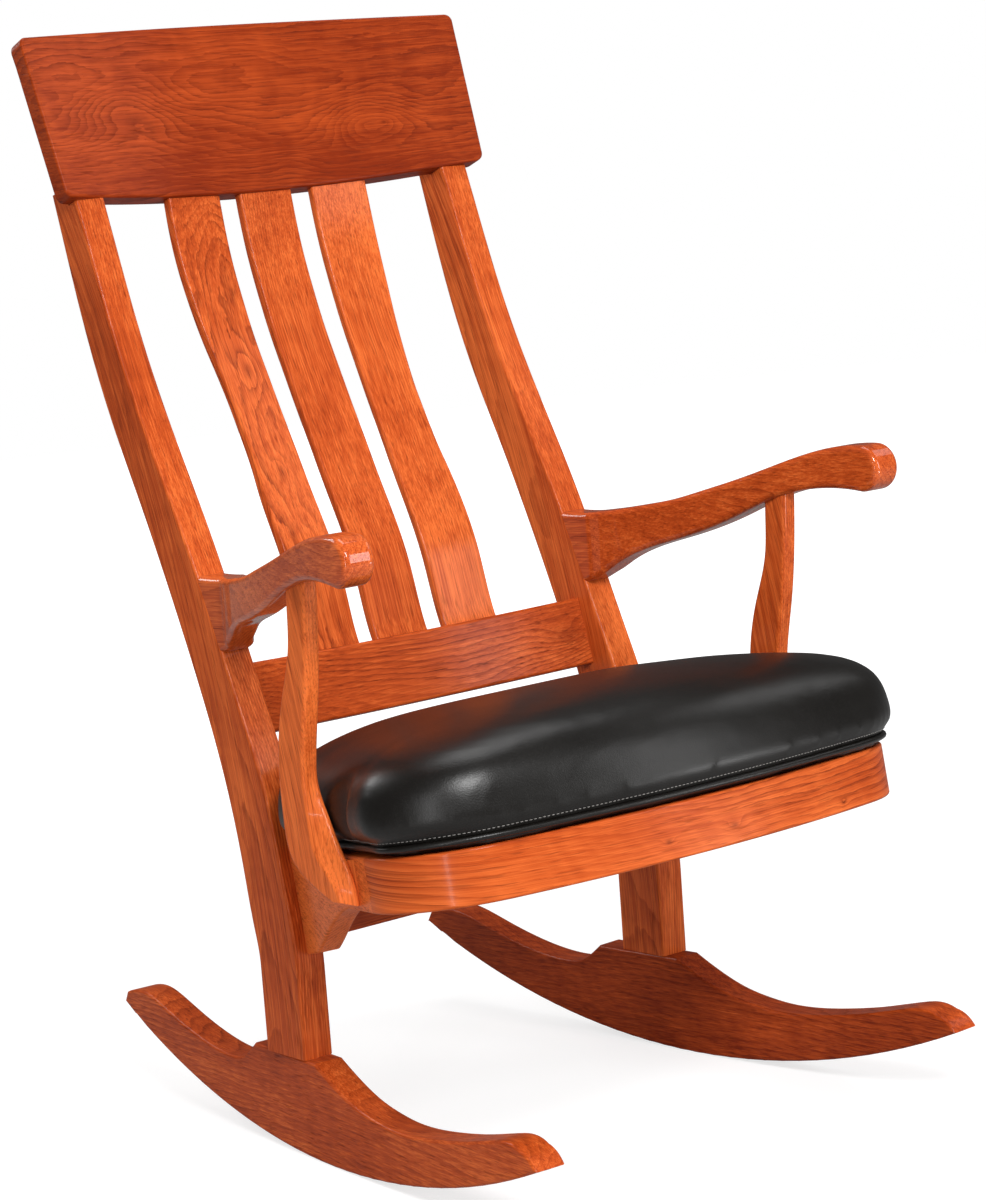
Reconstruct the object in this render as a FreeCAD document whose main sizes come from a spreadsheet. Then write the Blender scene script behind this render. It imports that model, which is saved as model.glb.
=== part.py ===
import FreeCAD, Part
import math
import os

# Rocking chair in stained cherry with a black leather seat.
# Millimetres. +Z is up, +Y runs towards the back, and the chair is the same on both sides of X = 0.
# The floor is Z = 0, and Y = 0 is at the front face of the legs.
# The right hand of a seated person is -X.

doc = FreeCAD.newDocument("RockingChair")
sheet = doc.addObject("Spreadsheet::Sheet", "Sizes")

SIZES = (
    # Back posts, which are also the legs
    ("post_spacing", 470, "between the middles of the two posts"),
    ("post_width", 34, "post, side to side"),
    ("post_height", 977, "floor to the top of a post"),
    ("post_rake", 360, "leg's front face to the back of the post's top"),
    ("edge_ease", 3, "rounding of the long edges"),
    ("foot_height", 104, "floor to the shoulder of the leg, at its front face"),
    ("foot_tenon_width", 18, "stub tenon into the rocker, side to side"),
    ("foot_tenon_depth", 44, "stub tenon, front to back"),
    ("foot_tenon_length", 26, "stub tenon, shoulder to end"),
    ("foot_setback", 36, "leg's front face to the middle of the stub tenon"),
    ("joint_gap", 0.2, "clearance round every tenon and dowel"),
    # Rockers
    ("rocker_radius", 1066.9, "radius of the curve that meets the floor"),
    ("rocker_centre", 30.2, "middle of that curve behind the leg's front face"),
    ("rocker_length", 840, "rocker, tip to tip"),
    ("rocker_width", 33, "rocker, side to side"),
    ("rocker_splay", 3.63, "degrees that a rocker turns out towards the front"),
    ("rocker_rise", 116.5, "floor to the top of the front tip"),
    ("pad_slope", 3.26, "degrees that the rocker's pad falls to the back"),
    # Curved rails of the back
    ("back_radius", 880, "hollow of the back, seen from above"),
    ("crest_lean", 19.5, "degrees"),
    ("crest_height", 175, "crest rail at its ends"),
    ("crest_arch", 19, "extra height at the middle of the crest rail"),
    ("crest_thickness", 26, "crest rail, front to back"),
    ("crest_foot_width", 538, "crest rail along its lower edge"),
    ("crest_top_width", 555.6, "crest rail along its upper edge"),
    ("crest_corner", 9, "radius of the crest rail's corners"),
    ("rail_lean", 16.5, "degrees that the lower back rail leans"),
    ("rail_height", 74.4, "lower back rail"),
    ("rail_thickness", 22, "lower back rail, front to back"),
    ("rail_tenon_length", 15, "tenon of the lower back rail into a post"),
    ("rail_tenon_height", 48, "tenon of the lower back rail"),
    ("rail_tenon_thickness", 10, "tenon of the lower back rail"),
    # Slats
    ("slat_thickness", 12.7, "slat, front to back"),
    ("slat_width", 67.4, "middle slat"),
    ("slat_spacing", 91, "between the middles of two slats"),
    ("slat_rise", 472, "shoulder to shoulder, upright"),
    ("slat_rake", 199, "how far a slat goes back in that height"),
    ("slat_tenon_length", 12, "tenon at each end of a slat"),
    ("slat_tenon_thickness", 8, "tenon at each end of a slat"),
    ("slat_tenon_width", 48, "tenon at each end of a slat"),
    # Arms
    ("arm_width", 33.5, "arm, side to side"),
    ("arm_ease", 6, "rounding of an arm's edges"),
    ("arm_reach", 377, "post to the front of the arm's roll"),
    ("arm_flare", 86.5, "how far the roll lies outside the arm's back end"),
    ("arm_back_height", 76, "arm where it meets the post"),
    ("arm_rise", 158, "foot of the arm's back end to the top of the roll"),
    ("arm_foot", 514, "floor to the foot of the arm's back end"),
    ("arm_housing", 1, "depth of the post's housing for the arm"),
    ("arm_bolt_radius", 3, "bolt through the post into the arm"),
    ("arm_bolt_grip", 42, "length of that bolt in the arm"),
    # Arm supports
    ("support_thickness", 18, "arm support, side to side"),
    ("support_inner", 290.5, "middle of the chair to the inner face of a support"),
    ("support_height", 302, "foot to the top of a support"),
    ("support_depth", 104, "foremost to rearmost point of a support"),
    ("support_reach", 191, "leg's front face to the foremost point of a support"),
    ("support_foot", 307.5, "floor to the foot of a support"),
    ("support_ease", 4, "rounding of a support's edges"),
    ("support_wedge", 20, "thickening of a support's foot, inwards to the side rail"),
    ("support_dowel_radius", 6, "dowel from a support up into the arm"),
    ("support_dowel_length", 40, "dowel from a support up into the arm"),
    ("support_bolt_radius", 3, "bolt from the frame into a support"),
    ("support_bolt_length", 41, "bolt from the frame into a support"),
    ("support_bolt_drop", 19, "top of the frame to the upper bolt of a support"),
    ("support_bolt_rise", 17, "between the two bolts of a support"),
    ("support_bolt_reach", 172, "rear end of a side rail's face to the support's bolts"),
    # Seat frame
    ("seat_slope", 9.65, "degrees that the seat falls to the back"),
    ("seat_height", 324, "floor to the top of the frame, above the legs' front faces"),
    ("seat_front", 369, "legs' front faces to the middle of the apron, along the seat"),
    ("seat_back_half", 243, "half the frame's width at the legs' front faces"),
    ("side_flare", 14.6, "degrees that the side rails turn out"),
    ("front_radius", 875, "curve of the apron's front"),
    ("corner_radius", 105, "curve of the frame's front corners"),
    ("apron_height", 53, "apron and side rails"),
    ("apron_thickness", 25, "apron and side rails"),
    ("bracket_height", 112, "side rail where it meets the leg"),
    ("side_tenon_thickness", 9, "tenon of a side rail into the leg"),
    ("side_tenon_height", 34, "tenon of a side rail into the leg"),
    ("side_tenon_length", 19, "tenon of a side rail into the leg"),
    ("side_tenon_drop", 56, "top of a side rail to the underside of its tenon"),
    ("side_tenon_inset", 7.5, "outer face of a side rail to the middle of its tenon"),
    ("side_dowel_radius", 5, "dowels between the apron and a side rail"),
    ("side_dowel_length", 44, "dowels between the apron and a side rail"),
    ("cross_rail_thickness", 23, "rear seat rail, front to back"),
    ("cross_rail_front", 11, "legs' front faces to the front of the rear seat rail"),
    ("cross_rail_foot", 221, "floor to the underside of the rear seat rail"),
    ("cross_tenon_length", 14, "tenon of the rear seat rail into a leg"),
    ("cross_tenon_height", 28, "tenon of the rear seat rail into a leg"),
    ("cross_tenon_rise", 7, "underside of the rear seat rail to its tenon"),
    ("cross_tenon_thickness", 11, "tenon of the rear seat rail into a leg"),
    ("block_reach", 130, "front corner blocks along each side"),
    ("rear_block_reach", 70, "rear corner blocks along each side"),
    ("block_height", 32, "corner blocks"),
    # Seat
    ("board_thickness", 9, "plywood under the cushion"),
    ("board_gap", 1, "round the plywood, inside the frame"),
    ("cloth_thickness", 1, "dust cover under the plywood"),
    ("cushion_rear", 14, "rear edge of the cushion behind the legs' front faces"),
    ("cushion_overhang", 10, "cushion outside the frame at its fullest"),
    ("cushion_height", 119, "cushion at the top of its crown"),
    ("cushion_rear_corner", 46, "radius of the cushion's rear corners"),
    ("leather_thickness", 1.4, "cover"),
    ("core_radius", 27.5, "blind cores in the underside of the foam"),
    ("core_spacing", 60, "between the middles of two cores"),
    ("core_depth", 88, "blind cores"),
    ("core_border", 60, "edge of the frame to the middle of the nearest core"),
    ("soft_gap", 0.4, "round the soft parts"),
    ("welt_radius", 3.2, "piping round the cushion"),
    ("welt_height", 8, "middle of the piping above the frame"),
    ("screw_radius", 2.2, "wood screws"),
    ("head_radius", 5, "heads of the screws and bolts"),
    ("head_height", 3, "heads of the screws and bolts"),
    ("plug_radius", 6, "wooden plugs over the heads"),
    ("plug_length", 7, "wooden plugs over the heads"),
    ("seat_screw_length", 38, "corner block up into the plywood"),
    ("rocker_screw_length", 85, "rocker up into the leg"),
    ("crest_dowel_radius", 5, "dowel from a post up into the crest rail"),
    ("crest_dowel_length", 50, "dowel from a post up into the crest rail"),
    ("rest_lean", 3.6, "degrees that the empty chair rolls forward from its legs standing upright"),
    ("overrun", 200, "how far a cutting block runs past the piece it cuts"),
)

for row, (alias, value, meaning) in enumerate(SIZES, start=1):
    sheet.set(f"A{row}", alias)
    sheet.set(f"B{row}", str(value))
    sheet.setAlias(f"B{row}", alias)
    sheet.set(f"C{row}", meaning)
doc.recompute()


def size(alias):
    """A length or angle from the sheet."""
    return float(sheet.get(alias))


def vec(x, y, z):
    return FreeCAD.Vector(x, y, z)


def turned(base, yaw=0.0, lean=0.0):
    """A frame at base, its top leaning back by lean, then turned about the upright by yaw."""
    return FreeCAD.Placement(base, FreeCAD.Rotation(yaw, 0.0, -lean))


# Curves and outlines

def line(start, end):
    return Part.LineSegment(start, end)


def spline(points, start_tangent=None):
    curve = Part.BSplineCurve()
    if start_tangent is None:
        curve.interpolate(points)
    else:
        curve.interpolate(Points=points, InitialTangent=start_tangent, FinalTangent=points[-1] - points[-2])
    return curve


def flat(points):
    """Points of an outline drawn on a sketch's own plane."""
    return [vec(across, up, 0) for across, up in points]


def scaled(shares, width, height, origin=(0.0, 0.0)):
    """An outline's points from its shares of a width and a height."""
    return flat([(origin[0] + a * width, origin[1] + b * height) for a, b in shares])


def chain(points):
    """Straight lines from each point to the next, and back to the first."""
    return [line(a, b) for a, b in zip(points, points[1:] + points[:1])]


# Document objects

def bind(obj, **formulas):
    for name, formula in formulas.items():
        obj.setExpression(name, formula)
    return obj


def sketch_in(body, role, curves):
    plane = [feature for feature in body.Origin.OriginFeatures if feature.Role == role][0]
    sketch = body.newObject("Sketcher::SketchObject", body.Name + "Outline")
    sketch.AttachmentSupport = (plane, [""])
    sketch.MapMode = "FlatFace"
    sketch.addGeometry(curves, False)
    return sketch


def padded_body(name, role, curves, length, placement=None, symmetric=True):
    """A body padded from one closed outline on one of its origin planes."""
    body = doc.addObject("PartDesign::Body", name)
    sketch = sketch_in(body, role, curves)
    pad = body.newObject("PartDesign::Pad", name + "Pad")
    pad.Profile = sketch
    pad.setExpression("Length", length)
    pad.Midplane = symmetric
    if placement is not None:
        body.Placement = placement
    return body


def block(name, placement, width, depth, height):
    """A box about its frame's middle in X and Y, standing on its XY plane."""
    box = doc.addObject("Part::Box", name)
    bind(box, Length=width, Width=depth, Height=height)
    doc.recompute([box])
    middle = vec(-box.Length.Value / 2, -box.Width.Value / 2, 0)
    box.Placement = placement.multiply(FreeCAD.Placement(middle, FreeCAD.Rotation()))
    return box


def peg(name, placement, radius, height):
    rod = doc.addObject("Part::Cylinder", name)
    bind(rod, Radius=radius, Height=height)
    rod.Placement = placement
    return rod


def fused(name, pieces):
    union = doc.addObject("Part::MultiFuse", name)
    union.Shapes = pieces
    return union


def cut(name, base, tools):
    difference = doc.addObject("Part::Cut", name)
    difference.Base = base
    difference.Tool = tools[0] if len(tools) == 1 else fused(name + "Tools", tools)
    return difference


def common(name, base, tool):
    overlap = doc.addObject("Part::Common", name)
    overlap.Base = base
    overlap.Tool = tool
    return overlap


def mirrored(name, source):
    twin = doc.addObject("Part::Mirroring", name)
    twin.Source = source
    twin.Base = vec(0, 0, 0)
    twin.Normal = vec(1, 0, 0)
    return twin


def eased(name, base, radius, wanted):
    """Round each edge of base that wanted() picks."""
    doc.recompute()
    numbers = [i for i, edge in enumerate(base.Shape.Edges, start=1) if wanted(edge)]
    rounded = doc.addObject("Part::Fillet", name)
    rounded.Base = base
    rounded.Edges = [(i, radius, radius) for i in numbers]
    return rounded


def solid_feature(name, shape):
    feature = doc.addObject("Part::Feature", name)
    feature.Shape = shape
    return feature


def group(name, pieces):
    """Separate solids that share a node."""
    doc.recompute()
    return solid_feature(name, Part.makeCompound([piece.Shape for piece in pieces]))


def lengthwise(edge, across):
    """True for an edge that is not one of the short straight ones along across."""
    if edge.Curve.TypeId != "Part::GeomLine":
        return True
    return abs(edge.tangentAt(edge.FirstParameter).dot(across)) < 0.9


NODES = {}


def keep(name, feature):
    feature.Label = name
    NODES[name] = feature
    return feature


def keep_pair(name, feature):
    """Keep a piece of the right side and its twin on the left."""
    keep(name + "_right", feature)
    keep(name + "_left", mirrored(feature.Name + "Twin", feature))


ACROSS = vec(1, 0, 0)
BACK = vec(0, 1, 0)
UP = vec(0, 0, 1)
PARAMETER_STEP = 1e-9
gap = size("joint_gap")

# Back posts

POST_FRONT_SHARES = (
    (0.0, 0.1996), (0.0347, 0.2876), (0.0931, 0.3838), (0.1956, 0.4729), (0.2622, 0.5261),
    (0.4106, 0.6397), (0.5633, 0.7400), (0.7028, 0.8434), (0.8111, 0.9478), (0.8750, 1.0133),
)
POST_REAR_SHARES = (
    (0.2008, 0.1945), (0.2194, 0.2364), (0.2508, 0.2999), (0.3122, 0.3930), (0.4072, 0.4852),
    (0.5203, 0.5773), (0.6464, 0.6704), (0.7800, 0.7646), (0.8853, 0.8608), (0.9667, 0.9580),
    (1.0, 1.0),
)
rake = size("post_rake")
tall = size("post_height")
post_side = size("post_spacing") / 2
front_points = scaled(POST_FRONT_SHARES, rake, tall)
rear_points = scaled(POST_REAR_SHARES, rake, tall)
post_front = spline(front_points, vec(0, 1, 0))
post_rear = spline(rear_points, vec(0, 1, 0))
foot_front = vec(front_points[0].x, 0, 0)
foot_rear = vec(rear_points[0].x, 0, 0)
post_outline = [
    line(foot_front, front_points[0]), post_front, line(front_points[-1], rear_points[-1]),
    post_rear, line(rear_points[0], foot_rear), line(foot_rear, foot_front),
]
post_body = padded_body("PostBlank", "YZ_Plane", post_outline, "Sizes.post_width")
bind(post_body, **{"Placement.Base.x": "-Sizes.post_spacing / 2"})


def upright(edge):
    """The post's four long edges."""
    along = edge.tangentAt(edge.FirstParameter)
    return abs(along.x) < 0.5 and abs(along.z) > 0.5


post_blank = eased("PostEased", post_body, size("edge_ease"), upright)


def crossing(curve, measure):
    """The point of a curve where measure() of its points changes sign."""
    low = curve.FirstParameter
    high = curve.LastParameter
    rising = measure(curve.value(high)) > 0
    while high - low > PARAMETER_STEP:
        middle = (low + high) / 2
        if (measure(curve.value(middle)) > 0) == rising:
            high = middle
        else:
            low = middle
    return curve.value(low)


def depth_at(curve, height):
    """How far back an edge of a side view lies at a height."""
    return crossing(curve, lambda point: point.y - height).x


def height_at(curve, depth):
    """How high an edge of a side view lies at a distance behind the leg's front face."""
    return crossing(curve, lambda point: point.x - depth).y


# Rockers

ROCKER_TOP_SHARES = (
    # Front stretch, from the nose to the pad
    (-0.4714, 0.976), (-0.458, 1.0), (-0.417, 0.957), (-0.357, 0.833), (-0.298, 0.734), (-0.238, 0.659),
    (-0.196, 0.635), (-0.155, 0.644), (-0.113, 0.682), (-0.068, 0.773),
)
ROCKER_REAR_SHARES = (
    # Rear stretch, from the pad to the tip
    (0.150, 0.721), (0.169, 0.644), (0.188, 0.618), (0.226, 0.609), (0.286, 0.644),
    (0.351, 0.725), (0.395, 0.794), (0.437, 0.831), (0.458, 0.815), (0.490, 0.747),
)
NOSE_SHARE = (-0.4905, 0.925)
PAD_SHARES = (0.0225, 0.129)
reach = size("rocker_length")
rise = size("rocker_rise")
radius = size("rocker_radius")
centre = vec(size("rocker_centre"), radius, 0)


def sole(across):
    """Height of the rocker's underside at a distance behind the leg's front face."""
    return radius - math.sqrt(radius ** 2 - (across - centre.x) ** 2)


def pad_level(across):
    """A point of the pad that carries the leg, at a distance behind the leg's front face."""
    return vec(across, size("foot_height") - across * math.tan(math.radians(size("pad_slope"))), 0)


top_front = scaled(ROCKER_TOP_SHARES, reach, rise) + [pad_level(-PAD_SHARES[0] * reach)]
top_rear = [pad_level(PAD_SHARES[1] * reach)] + scaled(ROCKER_REAR_SHARES, reach, rise)
front_tip = vec(-reach / 2, sole(-reach / 2), 0)
rear_tip = vec(reach / 2, sole(reach / 2), 0)
rocker_sole = Part.Arc(front_tip, vec(centre.x, 0, 0), rear_tip)
rocker_outline = [
    spline(top_front), line(top_front[-1], top_rear[0]), spline(top_rear), line(top_rear[-1], rear_tip),
    rocker_sole, Part.Arc(front_tip, scaled([NOSE_SHARE], reach, rise)[0], top_front[0]),
]
rocker_frame = turned(vec(-post_side, 0, 0), yaw=-size("rocker_splay"))
rocker_body = padded_body("RockerBlank", "YZ_Plane", rocker_outline, "Sizes.rocker_width", rocker_frame)
rocker_blank = eased("RockerEased", rocker_body, size("edge_ease"), lambda edge: lengthwise(edge, ACROSS))


def tenon(name, frame, width, depth, length):
    """A tenon along its frame's Z, and the mortise that takes it."""
    tongue = block(name, frame, width, depth, length)
    hole = block(
        name + "Mortise", frame, f"{width} + 2 * Sizes.joint_gap", f"{depth} + 2 * Sizes.joint_gap",
        f"{length} + Sizes.joint_gap",
    )
    return tongue, hole


def shifted(frame, x=0.0, y=0.0, z=0.0):
    return frame.multiply(FreeCAD.Placement(vec(x, y, z), FreeCAD.Rotation()))


def facing(frame, axis, degrees):
    return frame.multiply(FreeCAD.Placement(vec(0, 0, 0), FreeCAD.Rotation(axis, degrees)))


foot_frame = turned(
    vec(-post_side, 0, size("foot_height")), yaw=-size("rocker_splay"), lean=size("pad_slope"),
)
foot_down = facing(shifted(foot_frame, y=size("foot_setback")), ACROSS, 180)
foot_tongue, foot_mortise = tenon(
    "FootTenon", foot_down, "Sizes.foot_tenon_width", "Sizes.foot_tenon_depth", "Sizes.foot_tenon_length",
)
below_foot = block(
    "BelowFoot", shifted(foot_frame, z=-size("overrun")), "Sizes.overrun", "2 * Sizes.overrun",
    "Sizes.overrun",
)

# Crest rail

CREST_SEAT_SHARES = (0.9242, 0.9866)
RAIL_SEAT_SHARES = (0.3192, 0.4261)
bow = size("back_radius")


def bowed_rail(name, half, thickness):
    """The plan of a rail that hollows the back, its front face through the frame's origin."""
    front_edge = vec(half, -half ** 2 / (2 * bow), 0)
    rear_edge = front_edge + vec(0, thickness, 0)
    mirror_front = vec(-front_edge.x, front_edge.y, 0)
    mirror_rear = vec(-rear_edge.x, rear_edge.y, 0)
    return [
        Part.Arc(mirror_front, vec(0, 0, 0), front_edge), line(front_edge, rear_edge),
        Part.Arc(rear_edge, vec(0, thickness, 0), mirror_rear), line(mirror_rear, mirror_front),
    ]


crest_frame = turned(
    vec(0, CREST_SEAT_SHARES[0] * rake, CREST_SEAT_SHARES[1] * tall), lean=size("crest_lean"),
)
crest_foot = size("crest_foot_width") / 2
crest_top = size("crest_top_width") / 2
crest_end = size("crest_height")
crest_peak = crest_end + size("crest_arch")
crest_plan = padded_body(
    "CrestPlan", "XY_Plane", bowed_rail("Crest", crest_top, size("crest_thickness")),
    "Sizes.crest_height + 2 * Sizes.crest_arch", crest_frame, symmetric=False,
)
crest_corners = flat([
    (-crest_foot, 0), (crest_foot, 0), (crest_top, crest_end), (-crest_top, crest_end),
])
crest_face = padded_body(
    "CrestFace", "XZ_Plane",
    [
        line(crest_corners[0], crest_corners[1]), line(crest_corners[1], crest_corners[2]),
        Part.Arc(crest_corners[2], vec(0, crest_peak, 0), crest_corners[3]),
        line(crest_corners[3], crest_corners[0]),
    ],
    "2 * Sizes.overrun", crest_frame,
)
crest_square = common("CrestSquare", crest_plan, crest_face)


def crest_upright(edge):
    """The four corners where the ends meet the upper and lower edges."""
    along = edge.tangentAt(edge.FirstParameter)
    depth = crest_frame.Rotation.multVec(vec(0, 1, 0))
    return edge.Curve.TypeId == "Part::GeomLine" and abs(along.dot(depth)) > 0.99


crest_cornered = eased("CrestCornered", crest_square, size("crest_corner"), crest_upright)
crest_blank = eased("CrestEased", crest_cornered, size("edge_ease"), lambda edge: not crest_upright(edge))

# Lower back rail

rail_frame = turned(
    vec(0, RAIL_SEAT_SHARES[0] * rake, RAIL_SEAT_SHARES[1] * tall), lean=size("rail_lean"),
)
rail_half = post_side - size("post_width") / 2
rail_plan = padded_body(
    "RailPlan", "XY_Plane", bowed_rail("Rail", rail_half, size("rail_thickness")), "Sizes.rail_height",
    rail_frame, symmetric=False,
)


def rail_long(edge):
    return edge.Curve.TypeId != "Part::GeomLine"


rail_blank = eased("RailEased", rail_plan, size("edge_ease"), rail_long)
rail_end_depth = size("rail_thickness") / 2 - rail_half ** 2 / (2 * bow)
rail_end = shifted(
    rail_frame, x=-rail_half, y=rail_end_depth, z=size("rail_height") / 2,
)
rail_tongue, rail_mortise = tenon(
    "RailTenon", facing(rail_end, BACK, -90), "Sizes.rail_tenon_height",
    "Sizes.rail_tenon_thickness", "Sizes.rail_tenon_length",
)

# Slats

SLAT_SIDE_SHARES = (
    # Front face, back and up from the lower shoulder
    (-0.030, -0.025), (0.0, 0.0), (0.1146, 0.1483), (0.2030, 0.2331), (0.3417, 0.3390), (0.4472, 0.4237),
    (0.5553, 0.5085), (0.6583, 0.5932), (0.7588, 0.6780), (0.8422, 0.7627), (0.9146, 0.8475),
    (0.9678, 0.9322), (1.0, 1.0), (1.022, 1.05),
)
STRAIGHT_EDGE_SHARES = ((0.5, -0.03), (0.5, 1.06))
INNER_EDGE_SHARES = ((0.535, -0.03), (0.524, 0.297), (0.467, 1.06))
OUTER_EDGE_SHARES = (
    (0.445, -0.03), (0.460, 0.25), (0.430, 0.339), (0.400, 0.381), (0.378, 0.466), (0.374, 0.508),
    (0.401, 0.593), (0.453, 0.678), (0.501, 0.763), (0.534, 0.85), (0.534, 1.06),
)
SLAT_FOOT_SHARES = (0.3861, 0.5015)
slat_rake = size("slat_rake")
slat_rise = size("slat_rise")
slat_depth = size("slat_thickness")
slat_foot = vec(0, SLAT_FOOT_SHARES[0] * rake, SLAT_FOOT_SHARES[1] * tall)


def slat_edge(shares, sign):
    points = scaled([(sign * a, b) for a, b in shares], size("slat_width"), slat_rise)
    return line(points[0], points[1]) if len(points) == 2 else spline(points)


def slat(name, place, left_shares, right_shares):
    """One slat: its bent side view crossed with its front view."""
    front_points = scaled(SLAT_SIDE_SHARES, slat_rake, slat_rise)
    front = spline(front_points)
    rear = spline([point + vec(slat_depth, 0, 0) for point in front_points])
    side = [
        front, line(front.EndPoint, rear.EndPoint), rear, line(rear.StartPoint, front.StartPoint),
    ]
    bent = padded_body(name + "Side", "YZ_Plane", side, "2 * Sizes.slat_width", place)
    left = slat_edge(left_shares, -1)
    right = slat_edge(right_shares, 1)
    view = [
        left, line(left.EndPoint, right.EndPoint), right, line(right.StartPoint, left.StartPoint),
    ]
    seen = padded_body(name + "Front", "XZ_Plane", view, "4 * Sizes.overrun", place)
    whole = common(name + "Whole", bent, seen)
    return eased(name + "Eased", whole, size("edge_ease"), lambda edge: lengthwise(edge, ACROSS))


slat_turn = math.degrees(math.atan(size("slat_spacing") / bow))
slat_line = vec(0, slat_rake, slat_rise)
beyond_shoulder = (
    block("AboveSlats", crest_frame, "4 * Sizes.overrun", "4 * Sizes.overrun", "Sizes.overrun"),
    block(
        "BelowSlats", shifted(rail_frame, z=size("rail_height") - size("overrun")), "4 * Sizes.overrun",
        "4 * Sizes.overrun", "Sizes.overrun",
    ),
)
SLAT_TOP_SHARE = 0.46
SLAT_FOOT_SHARE = 0.41


def slat_with_tenons(name, x, turn, left_shares, right_shares):
    """A slat cut to its shoulders, its tenons, and the mortises for them."""
    bow_in = x ** 2 / (2 * bow)
    place = FreeCAD.Placement(slat_foot + vec(x, -bow_in, 0), FreeCAD.Rotation(slat_line, turn))
    blank = slat(name, place, left_shares, right_shares)
    body = cut(name + "Cut", blank, list(beyond_shoulder))
    top = shifted(crest_frame, x=x, y=SLAT_TOP_SHARE * size("crest_thickness") - bow_in)
    foot_depth = SLAT_FOOT_SHARE * size("rail_thickness") - bow_in
    foot = shifted(rail_frame, x=x, y=foot_depth, z=size("rail_height"))
    upper = tenon(
        name + "TopTenon", facing(top, UP, turn), "Sizes.slat_tenon_width",
        "Sizes.slat_tenon_thickness", "Sizes.slat_tenon_length",
    )
    lower = tenon(
        name + "FootTenon", facing(facing(foot, UP, turn), ACROSS, 180), "Sizes.slat_tenon_width",
        "Sizes.slat_tenon_thickness", "Sizes.slat_tenon_length",
    )
    return fused(name + "WithTenons", [body, upper[0], lower[0]]), upper[1], lower[1]


side_slat, side_top, side_foot = slat_with_tenons(
    "SideSlat", -size("slat_spacing"), slat_turn, OUTER_EDGE_SHARES, INNER_EDGE_SHARES,
)
middle_slat, middle_top, middle_foot = slat_with_tenons(
    "MiddleSlat", 0, 0, STRAIGHT_EDGE_SHARES, STRAIGHT_EDGE_SHARES,
)
keep_pair("back_slat", side_slat)
keep("back_slat_middle", middle_slat)

# Dowels between the posts and the crest rail

post_top_depth = -post_side ** 2 / (2 * bow) + size("crest_thickness") / 2
crest_dowel_frame = shifted(
    crest_frame, x=-post_side, y=post_top_depth, z=-size("crest_dowel_length") / 2,
)
crest_dowel = peg(
    "CrestDowel", crest_dowel_frame, "Sizes.crest_dowel_radius", "Sizes.crest_dowel_length",
)
crest_dowel_hole = peg(
    "CrestDowelHole", shifted(crest_dowel_frame, z=-gap), "Sizes.crest_dowel_radius + Sizes.joint_gap",
    "Sizes.crest_dowel_length + 2 * Sizes.joint_gap",
)
crest_dowel_twin = mirrored("CrestDowelTwin", crest_dowel)
keep("crest_dowels", group("CrestDowels", [crest_dowel, crest_dowel_twin]))

crest = cut("CrestRail", crest_blank, [
    side_top, mirrored("SideTopTwin", side_top), middle_top, crest_dowel_hole,
    mirrored("CrestDowelHoleTwin", crest_dowel_hole),
])
keep("crest_rail", crest)
rail_tongues = [rail_tongue, mirrored("RailTongueTwin", rail_tongue)]
rail_body = cut("RailCut", rail_blank, [side_foot, mirrored("SideFootTwin", side_foot), middle_foot])
keep("lower_back_rail", fused("LowerBackRail", [rail_body] + rail_tongues))

# The post's top is notched: the crest rail stands on the notch, with the post's back behind it.
crest_notch_plan = padded_body(
    "CrestNotch", "XY_Plane",
    bowed_rail("Notch", crest_top + size("overrun"), size("crest_thickness") + gap), "Sizes.overrun",
    crest_frame, symmetric=False,
)
before_crest = block(
    "BeforeCrest", shifted(crest_frame, x=-post_side, y=-size("overrun") / 2 + post_top_depth),
    "Sizes.overrun", "Sizes.overrun", "Sizes.overrun",
)

# Arms, each from a side view crossed with a plan

ARM_TOP_SHARES = (
    # Forward from the post, and up from the arm's foot
    (-0.12, 0.478), (-0.02, 0.480), (0.0515, 0.496), (0.0912, 0.508), (0.1443, 0.528), (0.2106, 0.555),
    (0.2902, 0.592), (0.383, 0.654), (0.489, 0.729), (0.595, 0.811), (0.701, 0.896), (0.807, 0.966),
    (0.9375, 1.0),
)
ARM_UNDER_SHARES = (
    (0.010, 0.004), (0.0515, 0.054), (0.0912, 0.117), (0.1443, 0.190), (0.2106, 0.253), (0.2902, 0.309),
    (0.383, 0.378), (0.489, 0.476), (0.595, 0.588), (0.701, 0.672), (0.807, 0.708), (0.9375, 0.698),
)
ARM_INNER_SHARES = (
    # Forward from the post, and out from the arm's back end
    (0.0155, 0.0), (0.0515, 0.066), (0.0912, 0.128), (0.1443, 0.209), (0.2106, 0.306), (0.2902, 0.409),
    (0.383, 0.520), (0.489, 0.636), (0.595, 0.735), (0.701, 0.825), (0.807, 0.917), (0.9375, 1.0),
    (1.08, 1.055),
)
ARM_END_SHARE = 0.13
ARM_HEEL_SHARE = 0.03
arm_reach = size("arm_reach")
arm_rise = size("arm_rise")
arm_back = depth_at(post_front, size("arm_foot"))
arm_origin = (arm_back, size("arm_foot"))
arm_top_points = scaled([(-f, h) for f, h in ARM_TOP_SHARES], arm_reach, arm_rise, arm_origin)
arm_under_points = scaled([(-f, h) for f, h in ARM_UNDER_SHARES], arm_reach, arm_rise, arm_origin)
arm_top = spline(arm_top_points)
arm_under = spline(arm_under_points)
roll_front = vec(arm_back - arm_reach, (arm_top_points[-1].y + arm_under_points[-1].y) / 2, 0)
arm_heel = vec(arm_back + ARM_HEEL_SHARE * arm_reach, size("arm_foot"), 0)
arm_side = [
    arm_top, Part.Arc(arm_top_points[-1], roll_front, arm_under_points[-1]), arm_under,
    line(arm_under_points[0], arm_heel), line(arm_heel, arm_top_points[0]),
]
arm_profile = padded_body("ArmProfile", "YZ_Plane", arm_side, "4 * Sizes.overrun")
inner_start = -rail_half
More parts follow.
